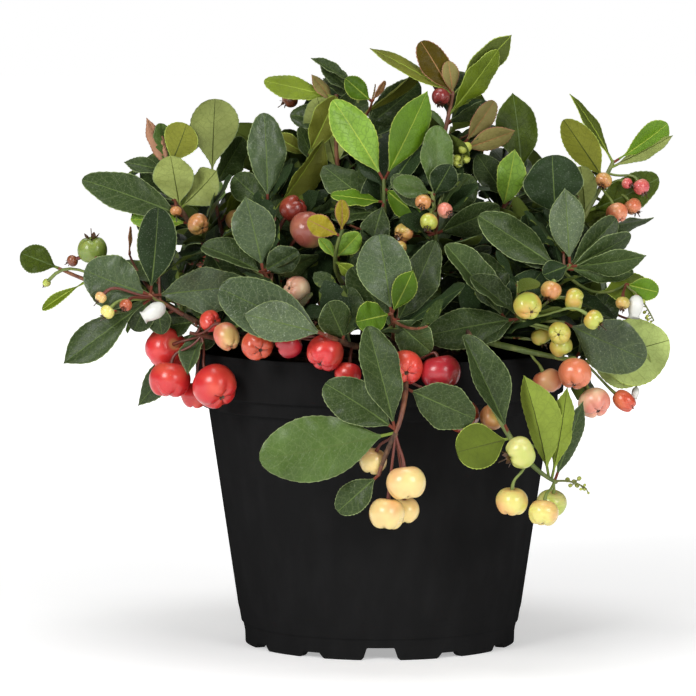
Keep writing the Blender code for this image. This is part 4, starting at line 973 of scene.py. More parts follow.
def leaf_surface(batch, leaf, slots, grade, chance, habits=()):
    """A leaf: its midrib falls by curl times the station squared, and its section is carried along that.

    The half width is that of the leaf times sin(pi b^p)^q, with b the share of the blade. Over it the
    height is fold times the distance from the midrib, less a groove at the midrib and along the side
    veins, with half the thickness times sqrt(1 - x^2) added on top and taken away below. The rim has
    fine teeth, waves a little, and the blade turns slightly towards its tip."""
    root, along, face, length, width = leaf
    top_slot, rim_slot, under_slot, stalk_slot, rib_slot, keel_slot = slots
    rows, strips, relief = LEAF_GRADES[grade]
    along, face = np.array(along), np.array(face)
    side = np.cross(face, along)
    rise = np.linspace(0.0, 1.0, rows + 1)[:-1] + (0.012 if grade == "shown" else 0.03)
    station = np.concatenate(((0.0, 0.5 * PETIOLE_SHARE), PETIOLE_SHARE + (1 - PETIOLE_SHARE) * rise))
    b = np.clip((station - PETIOLE_SHARE) / (1 - PETIOLE_SHARE), 0, 1)
    wedge = "wedge" in habits
    peak = (WEDGE_PEAK if wedge else BLADE_PEAK) + chance.uniform(-0.12, 0.12)
    blunt = TIP_POINTED if "pointed" in habits else chance.uniform(*TIP_BLUNT)
    fullness = np.interp(b, FULLNESS_AT, (*(WEDGE_FULLNESS if wedge else FULLNESS), blunt))
    blade = width / 2 * np.sin(math.pi * b**peak) ** fullness
    stalk = PETIOLE_HALF * np.clip(1 - b / 0.2, 0, 1)
    half = np.sqrt(blade**2 + stalk**2) + 1e-3
    x, top = across_leaf(half, b, strips)
    thick = BLADE_THICKNESS + 0.6 * np.clip(1 - b / 0.07, 0, 1)
    edge = np.abs(x)
    # Fine teeth that lean to the tip
    reach = np.ones_like(half)
    if relief == 1.0:
        tooth = (np.arange(len(b)) % TOOTH_ROWS) / (TOOTH_ROWS - 1)
        reach = 1 + TOOTH * tooth * smooth(0.04, 0.2, b) / np.maximum(half, 1.0)
    spread = half[:, None] * x * np.where(edge > 0.999, reach[:, None], 1)
    skew = chance.uniform(-0.05, 0.05)
    spread = spread * (1 + skew * np.sign(x))
    fold = FOLDED if "folded" in habits else chance.uniform(0.05, 0.34)
    lift = fold * half[:, None] * edge**1.3 - chance.uniform(0.04, 0.2) * half[:, None] * edge**4
    wave = chance.uniform(0.02, 0.09) * width
    waves = chance.uniform(1.1, 2.8)
    phase = chance.uniform(0, 6.28)
    lift = lift + wave * np.sin(waves * 6.28 * b[:, None] + phase + (x > 0) * 1.7) * edge**2 * np.sin(
        math.pi * b[:, None])
    own = chance.random()
    vein = (between(SIDE_VEINS, own) * b[:, None] - VEIN_SLANT * edge) % 1
    quilt = relief * 0.18 * np.sin(math.pi * vein) * np.clip(4 * (1 - edge), 0, 1) * smooth(0.02, 0.15, b)[:, None]
    on_top = (np.arange(x.shape[1]) < top)[None, :]
    skin = thick[:, None] / 2 * np.sqrt(np.clip(1 - x**2, 0, 1))
    ridge = np.exp(-((spread / 0.5) ** 2)) * smooth(0.0, 0.06, b)[:, None] * (1 - 0.6 * b[:, None]) * min(relief, 1)
    lift = lift + np.where(on_top, skin + quilt - 0.22 * ridge, -skin + quilt * 0.8 - 0.38 * ridge)
    turn = chance.uniform(-0.32, 0.32) * station[:, None] ** 1.5
    across, up = spread * np.cos(turn) - lift * np.sin(turn), spread * np.sin(turn) + lift * np.cos(turn)
    curl = LEAF_CURL + chance.uniform(-0.05, 0.06)
    bow = chance.uniform(-0.05, 0.05)
    spine = (np.array(root) + along * (length * station)[:, None] + side * (bow * length * station**2)[:, None]
             - face * (curl * length * station**2)[:, None])
    rings = spine[:, None] + side * across[..., None] + face * up[..., None]
    tip = np.array(root) + (along + side * bow - face * curl) * length
    places = np.stack((np.broadcast_to(b[:, None], x.shape), x, np.full(x.shape, own)), axis=-1)
    columns = np.arange(x.shape[1])
    kind = np.where(columns < top - 1, top_slot, under_slot)
    if strips:
        kind = np.where(np.isin(columns, (0, 10, 11, 17)), rim_slot, kind)
        kind[[5, 14]] = rib_slot, keel_slot
    kinds = np.tile(kind, (len(b) - 1, 1))
    kinds[b[1:] < 0.02] = stalk_slot
    batch.skin(rings, kinds, places, poles=(spine[0], tip))


# Berries: rows from the far end to the stalk and columns round them, and the shares of the crown at the far end
BERRY_GRADES = ((3.0, 12, 20), (99.0, 24, 40))
LOBES = 5
FAR_DIMPLE = 0.2
STALK_DIMPLE = 0.2
STAR_REACH = 0.2
CREASE_REACH = 0.62


def berry_surface(batch, centre, aim, radius, slots, chance, chubby=1.0):
    """A berry about its aim, the way to its stalk: a ball of that radius, a little flat, with a dimple at the
    stalk and, at the far end, five lobes that fold in to a small star along narrow creases.

    Each crease lowers the radius by a narrow power of 1 - |cos(5/2 turn)| that fades up the berry."""
    skin_slot, crease_slot, star_slot = slots
    rows, around = next(grade[1:] for grade in BERRY_GRADES if radius < grade[0])
    phi = math.pi * (np.arange(rows) + 0.5) / rows
    phi = phi - 0.28 * np.sin(2 * phi) * 0.6
    turn = (np.arange(around) + 0.5) * 2 * math.pi / around
    start = chance.uniform(0, 6.28)
    bend = chance.uniform(-0.25, 0.25) * np.exp(-phi[:, None] / 0.7)
    lobe = np.abs(np.cos(LOBES / 2 * turn))[None, :]
    crease = (1 - lobe) ** 4 * np.exp(-((phi[:, None] / (0.75 * chance.uniform(0.8, 1.3))) ** 2))
    bulge = (lobe**0.7 - 0.45) * np.exp(-(((phi[:, None] - 0.55) / 0.5) ** 2))
    lumps = 0.03 * np.sin(2 * turn[None, :] + chance.uniform(0, 6.28)) * np.sin(phi)[:, None]
    lumps = lumps + 0.02 * np.cos(3 * turn[None, :] + chance.uniform(0, 6.28)) * np.sin(phi)[:, None] ** 2
    out = radius * np.sin(phi)[:, None] * (1 + 0.13 * bulge - 0.35 * crease + lumps)
    height = -0.93 * chubby * np.cos(phi)[:, None] * (1 + 0.1 * bulge) + 0.12 * crease
    height = height + FAR_DIMPLE * np.exp(-((phi[:, None] / 0.42) ** 2))
    height = height - STALK_DIMPLE * np.exp(-(((math.pi - phi[:, None]) / 0.42) ** 2))
    aim = unit(aim)
    side = unit(np.cross(aim, (0.4, 0.3, 0.2)))
    up = np.cross(aim, side)
    round_berry = turn[None, :] + start + bend
    rings = (np.array(centre) + aim * (height * radius)[..., None] + side * (out * np.cos(round_berry))[..., None]
             + up * (out * np.sin(round_berry))[..., None])
    kinds = np.full((rows - 1, around), skin_slot)
    at_crease = np.isclose((turn + math.pi / around) % (2 * math.pi / LOBES), math.pi / LOBES, atol=0.01)
    kinds[np.ix_(phi[1:] < CREASE_REACH, at_crease)] = crease_slot
    kinds[phi[1:] < STAR_REACH] = star_slot
    places = np.stack((np.broadcast_to(phi[:, None] / math.pi, out.shape), np.zeros(out.shape),
                       np.full(out.shape, chance.random())), axis=-1)
    poles = np.array(centre) + aim * np.array([[-0.93 * chubby + FAR_DIMPLE + 0.03], [0.93 * chubby - STALK_DIMPLE]]) \
        * radius
    batch.skin(rings, kinds, places, poles)


def scale_leaf(batch, root, along, face, length, width, slot, thick=0.25):
    """A plain small blade, such as a sepal: its half width is sin(pi s^0.8) of its own."""
    along = unit(along)
    face = unit(np.array(face) - along * np.dot(face, along))
    side = np.cross(face, along)
    s = np.array((0.0, 0.25, 0.5, 0.75, 0.93))
    half = width / 2 * np.maximum(np.sin(math.pi * (0.12 + 0.88 * s) ** 0.8), 0.12)
    turn = np.arange(6) * math.pi / 3
    spine = np.array(root) + along * (length * s)[:, None] - face * (0.15 * length * s**2)[:, None]
    rings = spine[:, None] + (half[:, None] * np.cos(turn))[..., None] * side + np.sin(turn)[:, None] * thick / 2 * face
    batch.skin(rings, slot)


def stalk_path(root, centre, aim, radius, reach):
    """A stalk's points: out of its limb along its way, then round into the dimple of its berry."""
    root, centre = np.array(root), np.array(centre)
    way = centre - root
    end = centre + aim * radius * (0.93 - STALK_DIMPLE)
    return bezier(root, root + way * 0.45, end + aim * reach * 0.35, end, 12)


def berry_aim(along, chance):
    """The way to a berry's stalk: back along it, and up, for a berry hangs, with a little of its own."""
    own = Vector([chance.uniform(-1, 1) for _ in range(3)])
    return unit(-Vector(along) * 0.7 + Vector((0, 0, 0.55)) + own * 0.22)


def berry_end(batch, centre, aim, radius, slot, chance):
    """What a young berry keeps at its far end: five calyx tips and the thread of its style."""
    side = unit(np.cross(aim, (0.4, 0.3, 0.2)))
    up = np.cross(aim, side)
    end = centre - aim * radius * 0.8
    for step in range(LOBES):
        angle = (step + 0.3 * chance.random()) * 2 * math.pi / LOBES
        way = side * math.cos(angle) + up * math.sin(angle)
        scale_leaf(batch, end + way * radius * 0.25, way - aim * 0.8, aim, radius * 0.45, radius * 0.36, slot, 0.16)
    thread = end - aim * radius * np.linspace(-0.1, chance.uniform(0.5, 1.1), 5)[:, None]
    tube(batch, thread, np.full(5, 0.16), 5, slot)


# Finishes: tones as they look, 0 to 255
# The near-black tone of the leaves deep in the crown is painted shade.
TOP_TONES = dict(dark=(50, 66, 30), deep=(40, 56, 30), mid=(76, 100, 42), grey=(58, 75, 42), frost=(72, 88, 56),
                 fresh=(82, 114, 24), bright=(112, 146, 46), vivid=(92, 128, 16), lime=(120, 138, 42),
                 olive=(108, 112, 40), pale=(116, 124, 58), pink=(126, 118, 68), bronze=(72, 60, 2),
                 young=(146, 132, 30), moss=(96, 114, 22), shade=(76, 88, 30), forest=(66, 82, 14),
                 # The light tone is painted light: it brightens a leaf that the leaf in front of it shades.
                 rose=(180, 134, 106), dry=(122, 88, 56), light=(120, 138, 60))
TOP_VEINS = dict(deep=(24, 34, 18), bright=(66, 104, 24), vivid=(66, 98, 10), fresh=(58, 88, 18),
                 young=(176, 164, 66), pink=(140, 96, 76), forest=(30, 42, 8), rose=(140, 86, 64), dry=(90, 60, 38),
                 bronze=(46, 36, 4), olive=(78, 82, 26), moss=(66, 82, 10), shade=(50, 60, 14), lime=(92, 104, 40))
PALE_VEIN = (150, 166, 104)
SPECKS = dict(frost=1.0, grey=0.45, deep=0.35, dark=0.35, mid=0.25)
NETS = dict(bright=1.0, vivid=0.7, fresh=0.6, young=0.7, lime=0.5, frost=0.3, forest=0.8, deep=0.5)
SHEENS = dict(frost=(0.35, 0.12), grey=(0.35, 0.12), dark=(0.16, 0.08), mid=(0.22, 0.1), bright=(0.3, 0.1),
              vivid=(0.22, 0.1))
MATT = (0.1, 0.03)
# The light underside is painted light on a leaf that the leaf in front of it shades.
UNDER_TONES = dict(plain=(92, 106, 46), fresh=(128, 144, 50), olive=(126, 130, 46), pale=(138, 148, 82), light=(168, 184, 108),
                   rosy=(132, 110, 62), moss=(138, 156, 62), shade=(86, 100, 30))
UNDER_VEIN = (70, 78, 30)
RIM_TONES = dict(dull=(122, 136, 90), fresh=(158, 174, 78), rosy=(150, 106, 80))
RIB_TONES = dict(dull=(88, 106, 56), fresh=(146, 164, 62), rosy=(150, 112, 70))
STALK_TONES = dict(red=(112, 56, 42), green=(120, 138, 60))
LEAF_LOOKS = dict(dark=("plain", "dull", "red"), deep=("plain", "dull", "red"), mid=("plain", "dull", "green"),
                  grey=("plain", "dull", "red"), frost=("plain", "dull", "red"), fresh=("fresh", "fresh", "red"),
                  bright=("fresh", "fresh", "red"), vivid=("fresh", "fresh", "red"),
                  lime=("fresh", "fresh", "green"), olive=("olive", "fresh", "green"),
                  pale=("pale", "dull", "green"), pink=("rosy", "rosy", "red"), bronze=("rosy", "rosy", "red"),
                  young=("olive", "rosy", "red"), moss=("moss", "fresh", "green"),
                  shade=("shade", "fresh", "green"), forest=("olive", "dull", "green"),
                  rose=("rosy", "rosy", "red"), dry=("rosy", "rosy", "red"),
                  light=("light", "fresh", "green"))
# Each berry tone: its skin, its blush, its creases and its stalk
BERRY_LOOKS = dict(red=((206, 44, 46), (226, 86, 64), (120, 38, 26), "ruddy"),
                   ruby=((218, 34, 46), (226, 70, 60), (110, 30, 26), "ruddy"),
                   crimson=((154, 14, 36), (186, 46, 54), (104, 24, 26), "ruddy"),
                   maroon=((104, 44, 34), (140, 82, 50), (70, 36, 26), "ruddy"),
                   pinkish=((206, 84, 88), (230, 150, 126), (120, 50, 44), "ruddy"),
                   # Painted shade: a dark red for a red berry that hangs in deep shadow.
                   russet=((122, 40, 30), (150, 62, 40), (80, 34, 24), "ruddy"),
                   ember=((204, 84, 56), (232, 138, 92), (110, 54, 34), "ruddy"),
                   lemon=((226, 216, 124), (234, 184, 116), (150, 108, 56), "fresh"),
                   coral=((222, 126, 88), (240, 184, 132), (140, 70, 44), "ruddy"),
                   rose=((222, 138, 118), (244, 212, 172), (150, 84, 66), "ruddy"),
                   # A pink partly darkened by painted shade, for a berry shadowed from above.
                   dusky=((158, 84, 70), (196, 148, 104), (104, 56, 40), "ruddy"),
                   striped=((228, 192, 122), (214, 112, 92), (134, 90, 54), "ruddy"),
                   turning=((136, 52, 50), (132, 124, 60), (84, 60, 36), "ruddy"),
                   blush=((206, 142, 88), (196, 178, 92), (130, 84, 50), "ruddy"),
                   cream=((240, 214, 142), (236, 186, 126), (160, 108, 60), "ruddy"),
                   wax=((184, 196, 86), (216, 212, 132), (120, 96, 48), "fresh"),
                   unripe=((186, 192, 84), (214, 150, 80), (120, 104, 48), "fresh"),
                   green=((118, 140, 58), (156, 164, 84), (96, 84, 46), "fresh"),
                   brown=((160, 70, 46), (192, 102, 62), (92, 44, 30), "ruddy"))
FILL_BERRY_TONES = ("red", "red", "crimson", "coral", "blush", "cream")
BERRY_STALK_TONES = dict(ruddy=(124, 60, 46), fresh=(134, 152, 72))


def linear(tone):
    """A tone from 0 to 255 as the linear colour that it stands for."""
    share = np.array(tone, float) / 255
    return (*np.where(share > 0.04045, ((share + 0.055) / 1.055) ** 2.4, share / 12.92), 1.0)


def node_of(tree, kind, **settings):
    node = tree.nodes.new("ShaderNode" + kind)
    for name, value in settings.items():
        setattr(node, name, value)
    return node


def wire(tree, node, **inputs):
    """Sets a node's inputs, each a value or another node's socket. A name's lines stand for its spaces."""
    for name, value in inputs.items():
        key = int(name[1:]) if name[0] == "n" and name[1:].isdigit() else name.replace("_", " ")
        if isinstance(value, bpy.types.NodeSocket):
            tree.links.new(value, node.inputs[key])
        else:
            node.inputs[key].default_value = value
    return node


def sum_of(tree, operation, *values, clamp=False):
    """The output of one Math node."""
    node = node_of(tree, "Math", operation=operation, use_clamp=clamp)
    return wire(tree, node, **{f"n{k}": value for k, value in enumerate(values)}).outputs[0]


def mixed(tree, factor, first, second, blend="MIX"):
    """The colour that a Mix node gives."""
    node = node_of(tree, "Mix", data_type="RGBA", blend_type=blend)
    for key, value in ((0, factor), (6, first), (7, second)):
        if isinstance(value, bpy.types.NodeSocket):
            tree.links.new(value, node.inputs[key])
        else:
            node.inputs[key].default_value = value
    return node.outputs[2]


def noise_at(tree, place, scale, detail=3.0, rough=0.5):
    node = wire(tree, node_of(tree, "TexNoise"), Vector=place, Scale=scale, Detail=detail, Roughness=rough)
    return node.outputs["Fac"]


def group_of(name, inputs, outputs):
    """A node group with its sockets, and its two end nodes."""
    group = bpy.data.node_groups.new(name, "ShaderNodeTree")
    for socket, kind in inputs:
        group.interface.new_socket(socket, in_out="INPUT", socket_type="NodeSocket" + kind)
    for socket, kind in outputs:
        group.interface.new_socket(socket, in_out="OUTPUT", socket_type="NodeSocket" + kind)
    return group, group.nodes.new("NodeGroupInput"), group.nodes.new("NodeGroupOutput")


SKIN_OUT = (("Color", "Color"), ("Roughness", "Float"), ("Height", "Float"))


def blade_group():
    """A leaf's skin: its tone, lighter or darker leaf by leaf, with side veins and a net of small veins in the
    vein colour, soft mottling and fine light specks."""
    group, given, made = group_of("blade", (("Tone", "Color"), ("Vein", "Color"), ("Net", "Float"),
                                            ("Speck", "Float")), SKIN_OUT)
    place = node_of(group, "Attribute", attribute_name="place").outputs["Vector"]
    part = wire(group, node_of(group, "SeparateXYZ"), Vector=place).outputs
    where = node_of(group, "TexCoord").outputs["Object"]
    slant = sum_of(group, "MULTIPLY", sum_of(group, "ABSOLUTE", part[1]), VEIN_SLANT)
    count = sum_of(group, "MULTIPLY_ADD", part[2], SIDE_VEINS[1] - SIDE_VEINS[0], SIDE_VEINS[0])
    line = sum_of(group, "FRACT", sum_of(group, "SUBTRACT", sum_of(group, "MULTIPLY", part[0], count), slant))
    near = sum_of(group, "MULTIPLY", sum_of(group, "ABSOLUTE", sum_of(group, "SUBTRACT", line, 0.5)), 2.0)
    vein = sum_of(group, "POWER", near, 12.0)
    drift = wire(group, node_of(group, "TexNoise"), Vector=where, Scale=500.0, Detail=1.0).outputs["Color"]
    bent = wire(group, node_of(group, "VectorMath", operation="MULTIPLY_ADD"), n0=drift, n1=(0.0016,) * 3,
                n2=where).outputs[0]
    cells = wire(group, node_of(group, "TexVoronoi", feature="DISTANCE_TO_EDGE"), Vector=bent, Scale=520.0)
    net = sum_of(group, "SUBTRACT", 1.0, sum_of(group, "MULTIPLY", cells.outputs["Distance"], 9.0), clamp=True)
    cloud = noise_at(group, where, 90.0, 2.0)
    grain = noise_at(group, where, 2100.0, 2.0)
    speck = sum_of(group, "MULTIPLY", sum_of(group, "SUBTRACT", grain, 0.58, clamp=True), 4.0, clamp=True)
    speck = sum_of(group, "MULTIPLY", speck, given.outputs["Speck"])
    own = sum_of(group, "MULTIPLY_ADD", part[2], 0.45, 0.3)
    own = sum_of(group, "MULTIPLY_ADD", cloud, 0.95, own)
    tone = mixed(group, 1.0, given.outputs["Tone"], wire(
        group, node_of(group, "CombineColor"), Red=own, Green=own, Blue=own).outputs[0], "MULTIPLY")
    clear = sum_of(group, "MULTIPLY", cloud, sum_of(group, "MULTIPLY_ADD", given.outputs["Net"], 0.8, 0.14))
    tone = mixed(group, sum_of(group, "MULTIPLY", vein, clear), tone, given.outputs["Vein"])
    tone = mixed(group, sum_of(group, "MULTIPLY", net, given.outputs["Net"]), tone, given.outputs["Vein"])
    tone = mixed(group, sum_of(group, "MULTIPLY", speck, 0.5), tone, linear((196, 206, 180)))
    rough = sum_of(group, "MULTIPLY_ADD", cloud, 0.3, 0.28)
    height = sum_of(group, "MULTIPLY_ADD", vein, -0.5, sum_of(group, "MULTIPLY", net, -0.35))
    height = sum_of(group, "MULTIPLY_ADD", grain, 0.35, height)
    wire(group, made, Color=tone, Roughness=rough, Height=height)
    return group


def fruit_group():
    """A berry's skin: its tone, with a blush in soft clouds and towards its stalk."""
    group, given, made = group_of("fruit", (("Tone", "Color"), ("Blush", "Color")), SKIN_OUT)
    place = node_of(group, "Attribute", attribute_name="place").outputs["Vector"]
    part = wire(group, node_of(group, "SeparateXYZ"), Vector=place).outputs
    where = node_of(group, "TexCoord").outputs["Object"]
    cloud = noise_at(group, where, 110.0, 1.0)
    ends = sum_of(group, "MULTIPLY_ADD", sum_of(group, "POWER", part[0], 3.0), 0.6, -0.1)
    dimple = wire(group, node_of(group, "MapRange", interpolation_type="SMOOTHSTEP"), Value=part[0], From_Min=0.88,
                  From_Max=0.95, To_Max=0.65).outputs[0]
    share = sum_of(group, "MULTIPLY_ADD", sum_of(group, "SUBTRACT", cloud, 0.45), 4.0, ends, clamp=True)
    tone = mixed(group, share, given.outputs["Tone"], given.outputs["Blush"])
    tone = mixed(group, dimple, tone, linear((226, 178, 116)))
    grain = noise_at(group, where, 2200.0, 1.0)
    speck = sum_of(group, "MULTIPLY", sum_of(group, "SUBTRACT", grain, 0.68, clamp=True), 2.5, clamp=True)
    tone = mixed(group, sum_of(group, "MULTIPLY", speck, 0.4), tone, linear((250, 220, 190)))
    rough = sum_of(group, "MULTIPLY_ADD", cloud, 0.16, 0.22)
    wire(group, made, Color=tone, Roughness=rough, Height=grain)
    return group


def rough_group():
    """A skin of two tones by coarse and fine noise, stretched by the given scales: bark, peat or plastic."""
    group, given, made = group_of("two_tone", (("Dark", "Color"), ("Light", "Color"), ("Scale", "Vector"),
                                               ("Smooth", "Float"), ("Rough", "Float")), SKIN_OUT)
    where = node_of(group, "TexCoord").outputs["Object"]
    stretched = wire(group, node_of(group, "VectorMath", operation="MULTIPLY"), n0=where,
                     n1=given.outputs["Scale"]).outputs[0]
    coarse = noise_at(group, stretched, 1.0, 4.0)
    fine = noise_at(group, stretched, 7.0, 3.0)
    share = sum_of(group, "MULTIPLY_ADD", sum_of(group, "SUBTRACT", coarse, 0.42), 3.0,
                   sum_of(group, "MULTIPLY_ADD", fine, 0.6, -0.3), clamp=True)
    tone = mixed(group, share, given.outputs["Dark"], given.outputs["Light"])
    spread = wire(group, node_of(group, "MapRange"), Value=fine, To_Min=given.outputs["Smooth"],
                  To_Max=given.outputs["Rough"]).outputs[0]
    height = sum_of(group, "MULTIPLY_ADD", fine, 0.5, coarse)
    wire(group, made, Color=tone, Roughness=spread, Height=height)
    return group


def finish(name, group, relief, coat=0.0, specular=0.5, **inputs):
    """A material whose Principled shader is fed by a skin group."""
    material = bpy.data.materials.new(name)
    material.use_nodes = True
    tree = material.node_tree
    shader = tree.nodes["Principled BSDF"]
    skin = node_of(tree, "Group", node_tree=group)
    wire(tree, skin, **inputs)
    bump = wire(tree, node_of(tree, "Bump"), Strength=relief[0], Distance=relief[1], Height=skin.outputs["Height"])
    wire(tree, shader, Base_Color=skin.outputs["Color"], Roughness=skin.outputs["Roughness"],
         Normal=bump.outputs["Normal"], Coat_Weight=coat, Coat_Roughness=0.22, Specular_IOR_Level=specular)
    return material


BLADE, FRUIT, TWO_TONE = blade_group(), fruit_group(), rough_group()


def leaf_finishes():
    """All materials of the leaves in the order of their slots, and the slots of each tone."""
    made, slots = [], {}
    kinds = (("top", TOP_TONES), ("under", UNDER_TONES), ("rim", RIM_TONES), ("stalk", STALK_TONES),
             ("rib", RIB_TONES), ("keel", dict(dim=UNDER_VEIN)))
    for kind, tones in kinds:
        for name, tone in tones.items():
            (specular, coat), net, speck, vein = MATT, 0.0, 0.0, PALE_VEIN
            if kind == "top":
                specular, coat = SHEENS.get(name, MATT)
                net, speck = 0.4 * NETS.get(name, 0.2), SPECKS.get(name, 0.1)
                vein = TOP_VEINS.get(name, PALE_VEIN)
            elif kind == "under":
                net, vein = 0.16, UNDER_VEIN
            slots[kind, name] = len(made)
            made.append(finish(f"leaf_{kind}_{name}", BLADE, (0.6, 0.0002), coat, specular, Tone=linear(tone),
                               Vein=linear(vein), Net=net, Speck=speck))
    looks = {tone: (slots["top", tone], slots["rim", rim], slots["under", under], slots["stalk", stalk],
                    slots["rib", rim], slots["keel", "dim"]) for tone, (under, rim, stalk) in LEAF_LOOKS.items()}
    return made, looks


def berry_finishes():
    """All materials of the berries and what they carry, and the slots of each tone."""
    made, looks = [], {}
    for name, (skin, blush, crease, stalk) in BERRY_LOOKS.items():
        looks[name] = (len(made), len(made) + 1)
        material = finish(f"berry_{name}", FRUIT, (0.05, 0.0001), 0.35, Tone=linear(skin), Blush=linear(blush))
        shader = material.node_tree.nodes["Principled BSDF"]
        wire(material.node_tree, shader, Subsurface_Weight=0.2, Subsurface_Scale=0.0015,
             Subsurface_Radius=(1.0, 0.6, 0.4))
        made.append(material)
        made.append(finish(f"berry_{name}_crease", FRUIT, (0.3, 0.0002), 0.1, Tone=linear(crease), Blush=linear(skin)))
    made.append(finish("berry_star", FRUIT, (0.4, 0.0002), Tone=linear((62, 40, 26)), Blush=linear((96, 66, 40))))
    return made, looks, len(made) - 1


def rounded(profile, size, steps=3):
    """A profile with its inner corners rounded: each corner becomes a short curve between points near it."""
    made = [profile[0]]
    for before, corner, after in zip(profile, profile[1:], profile[2:]):
        before, corner, after = (np.array(point, float) for point in (before, corner, after))
        start = corner + (before - corner) * min(size / np.linalg.norm(before - corner), 0.4)
        end = corner + (after - corner) * min(size / np.linalg.norm(after - corner), 0.4)
        for t in np.linspace(0, 1, steps):
            made.append(tuple((1 - t) ** 2 * start + 2 * t * (1 - t) * corner + t * t * end))
    return made + [profile[-1]]


def turned_surface(batch, profile, columns, change=None):
    """A profile of (radius, height) from pole to pole, turned round the upright axis.

    The change takes all radii, heights and turns, and gives new radii and heights."""
    profile = np.array(profile, float)
    turn = np.arange(columns) * 2 * math.pi / columns
    radius = np.tile(profile[1:-1, :1], (1, columns))
    height = np.tile(profile[1:-1, 1:], (1, columns))
    if change:
        radius, height = change(radius, height, np.tile(turn, (len(radius), 1)))
    rings = np.stack((radius * np.cos(turn), radius * np.sin(turn), height), axis=-1)
    poles = [(0, 0, profile[0, 1]), (0, 0, profile[-1, 1])]
    batch.skin(rings, 0, poles=poles)


def pot_profile():
    """The pot's section from the middle of its underside, out, over the rim and down to its floor."""
    band_foot = POT_HEIGHT - RIM_BAND
    step_foot = band_foot - RIM_STEP
    wall_rows = [(WALL_FOOT_RADIUS + (WALL_TOP_RADIUS - WALL_FOOT_RADIUS) * t,
                  WALL_FOOT_HEIGHT + (step_foot - WALL_FOOT_HEIGHT) * t) for t in (0.33, 0.66)]
    return [
        (0, 0),
        (PAD_RADIUS, 0),
        (PAD_RADIUS + FOOT_CORNER, FOOT_HEIGHT),
        (FOOT_RADIUS - FOOT_RIB - FOOT_CORNER, FOOT_HEIGHT + FOOT_CORNER),
        (FOOT_RADIUS - FOOT_RIB, 0),
        (FOOT_RADIUS, 0),
        (FOOT_RADIUS, FOOT_HEIGHT),
        (FOOT_RADIUS + 0.5, FOOT_HEIGHT + 2.4),
        (FOOT_RADIUS + 1.1, FOOT_HEIGHT + 2.9),
        (WALL_FOOT_RADIUS - LIP_DRAFT, WALL_FOOT_HEIGHT - STEP_SLOPE),
        (WALL_FOOT_RADIUS, WALL_FOOT_HEIGHT),
        *wall_rows,
        (WALL_TOP_RADIUS, step_foot),
        (BAND_RADIUS, step_foot + FOOT_CORNER),
        (BAND_RADIUS, band_foot),
        (RIM_RADIUS - LIP_DRAFT, band_foot + FOOT_CORNER),
        (RIM_RADIUS - 0.15, POT_HEIGHT - 1.4),
        (RIM_RADIUS, POT_HEIGHT - 1.0),
        (RIM_RADIUS, POT_HEIGHT),
        (RIM_RADIUS - WALL, POT_HEIGHT),
        (BAND_RADIUS - WALL, band_foot + WALL),
        (BAND_RADIUS - WALL, step_foot + STEP_SLOPE),
        (WALL_TOP_RADIUS - WALL, step_foot),
        (WALL_FOOT_RADIUS - WALL - 2 * FOOT_CORNER, FLOOR_TOP),
        (0, FLOOR_TOP),
    ]


def notched(radius, height, turn):
    """Lifts the foot ring over each notch: by its depth, and evenly to nothing down its slanted ends."""
    lift = np.zeros_like(radius)
    for index in range(NOTCHES):
        width, depth = DEEP_NOTCH if index % 3 == 0 else SHALLOW_NOTCH
        middle = 2 * math.pi * index / NOTCHES - math.pi / 2
        off = np.abs((turn - middle + math.pi) % (2 * math.pi) - math.pi) * FOOT_RADIUS
        lift = np.maximum(lift, np.clip((width / 2 - off) / NOTCH_SLANT, 0, 1) * (depth - 0.1))
    on_ring = (radius > FOOT_RADIUS - FOOT_RIB - 2 * FOOT_CORNER) & (height < FOOT_HEIGHT)
    lifted = lift + height * (FOOT_HEIGHT - lift) / FOOT_HEIGHT
    return radius, np.where(on_ring, lifted, height)


def make_pot_piece(plastic):
    batch = Batch()
    turned_surface(batch, rounded(pot_profile(), ROUNDING), POT_COLUMNS, notched)
    piece = batch.piece("pot_shell", [plastic], 50)
    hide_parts("pot")


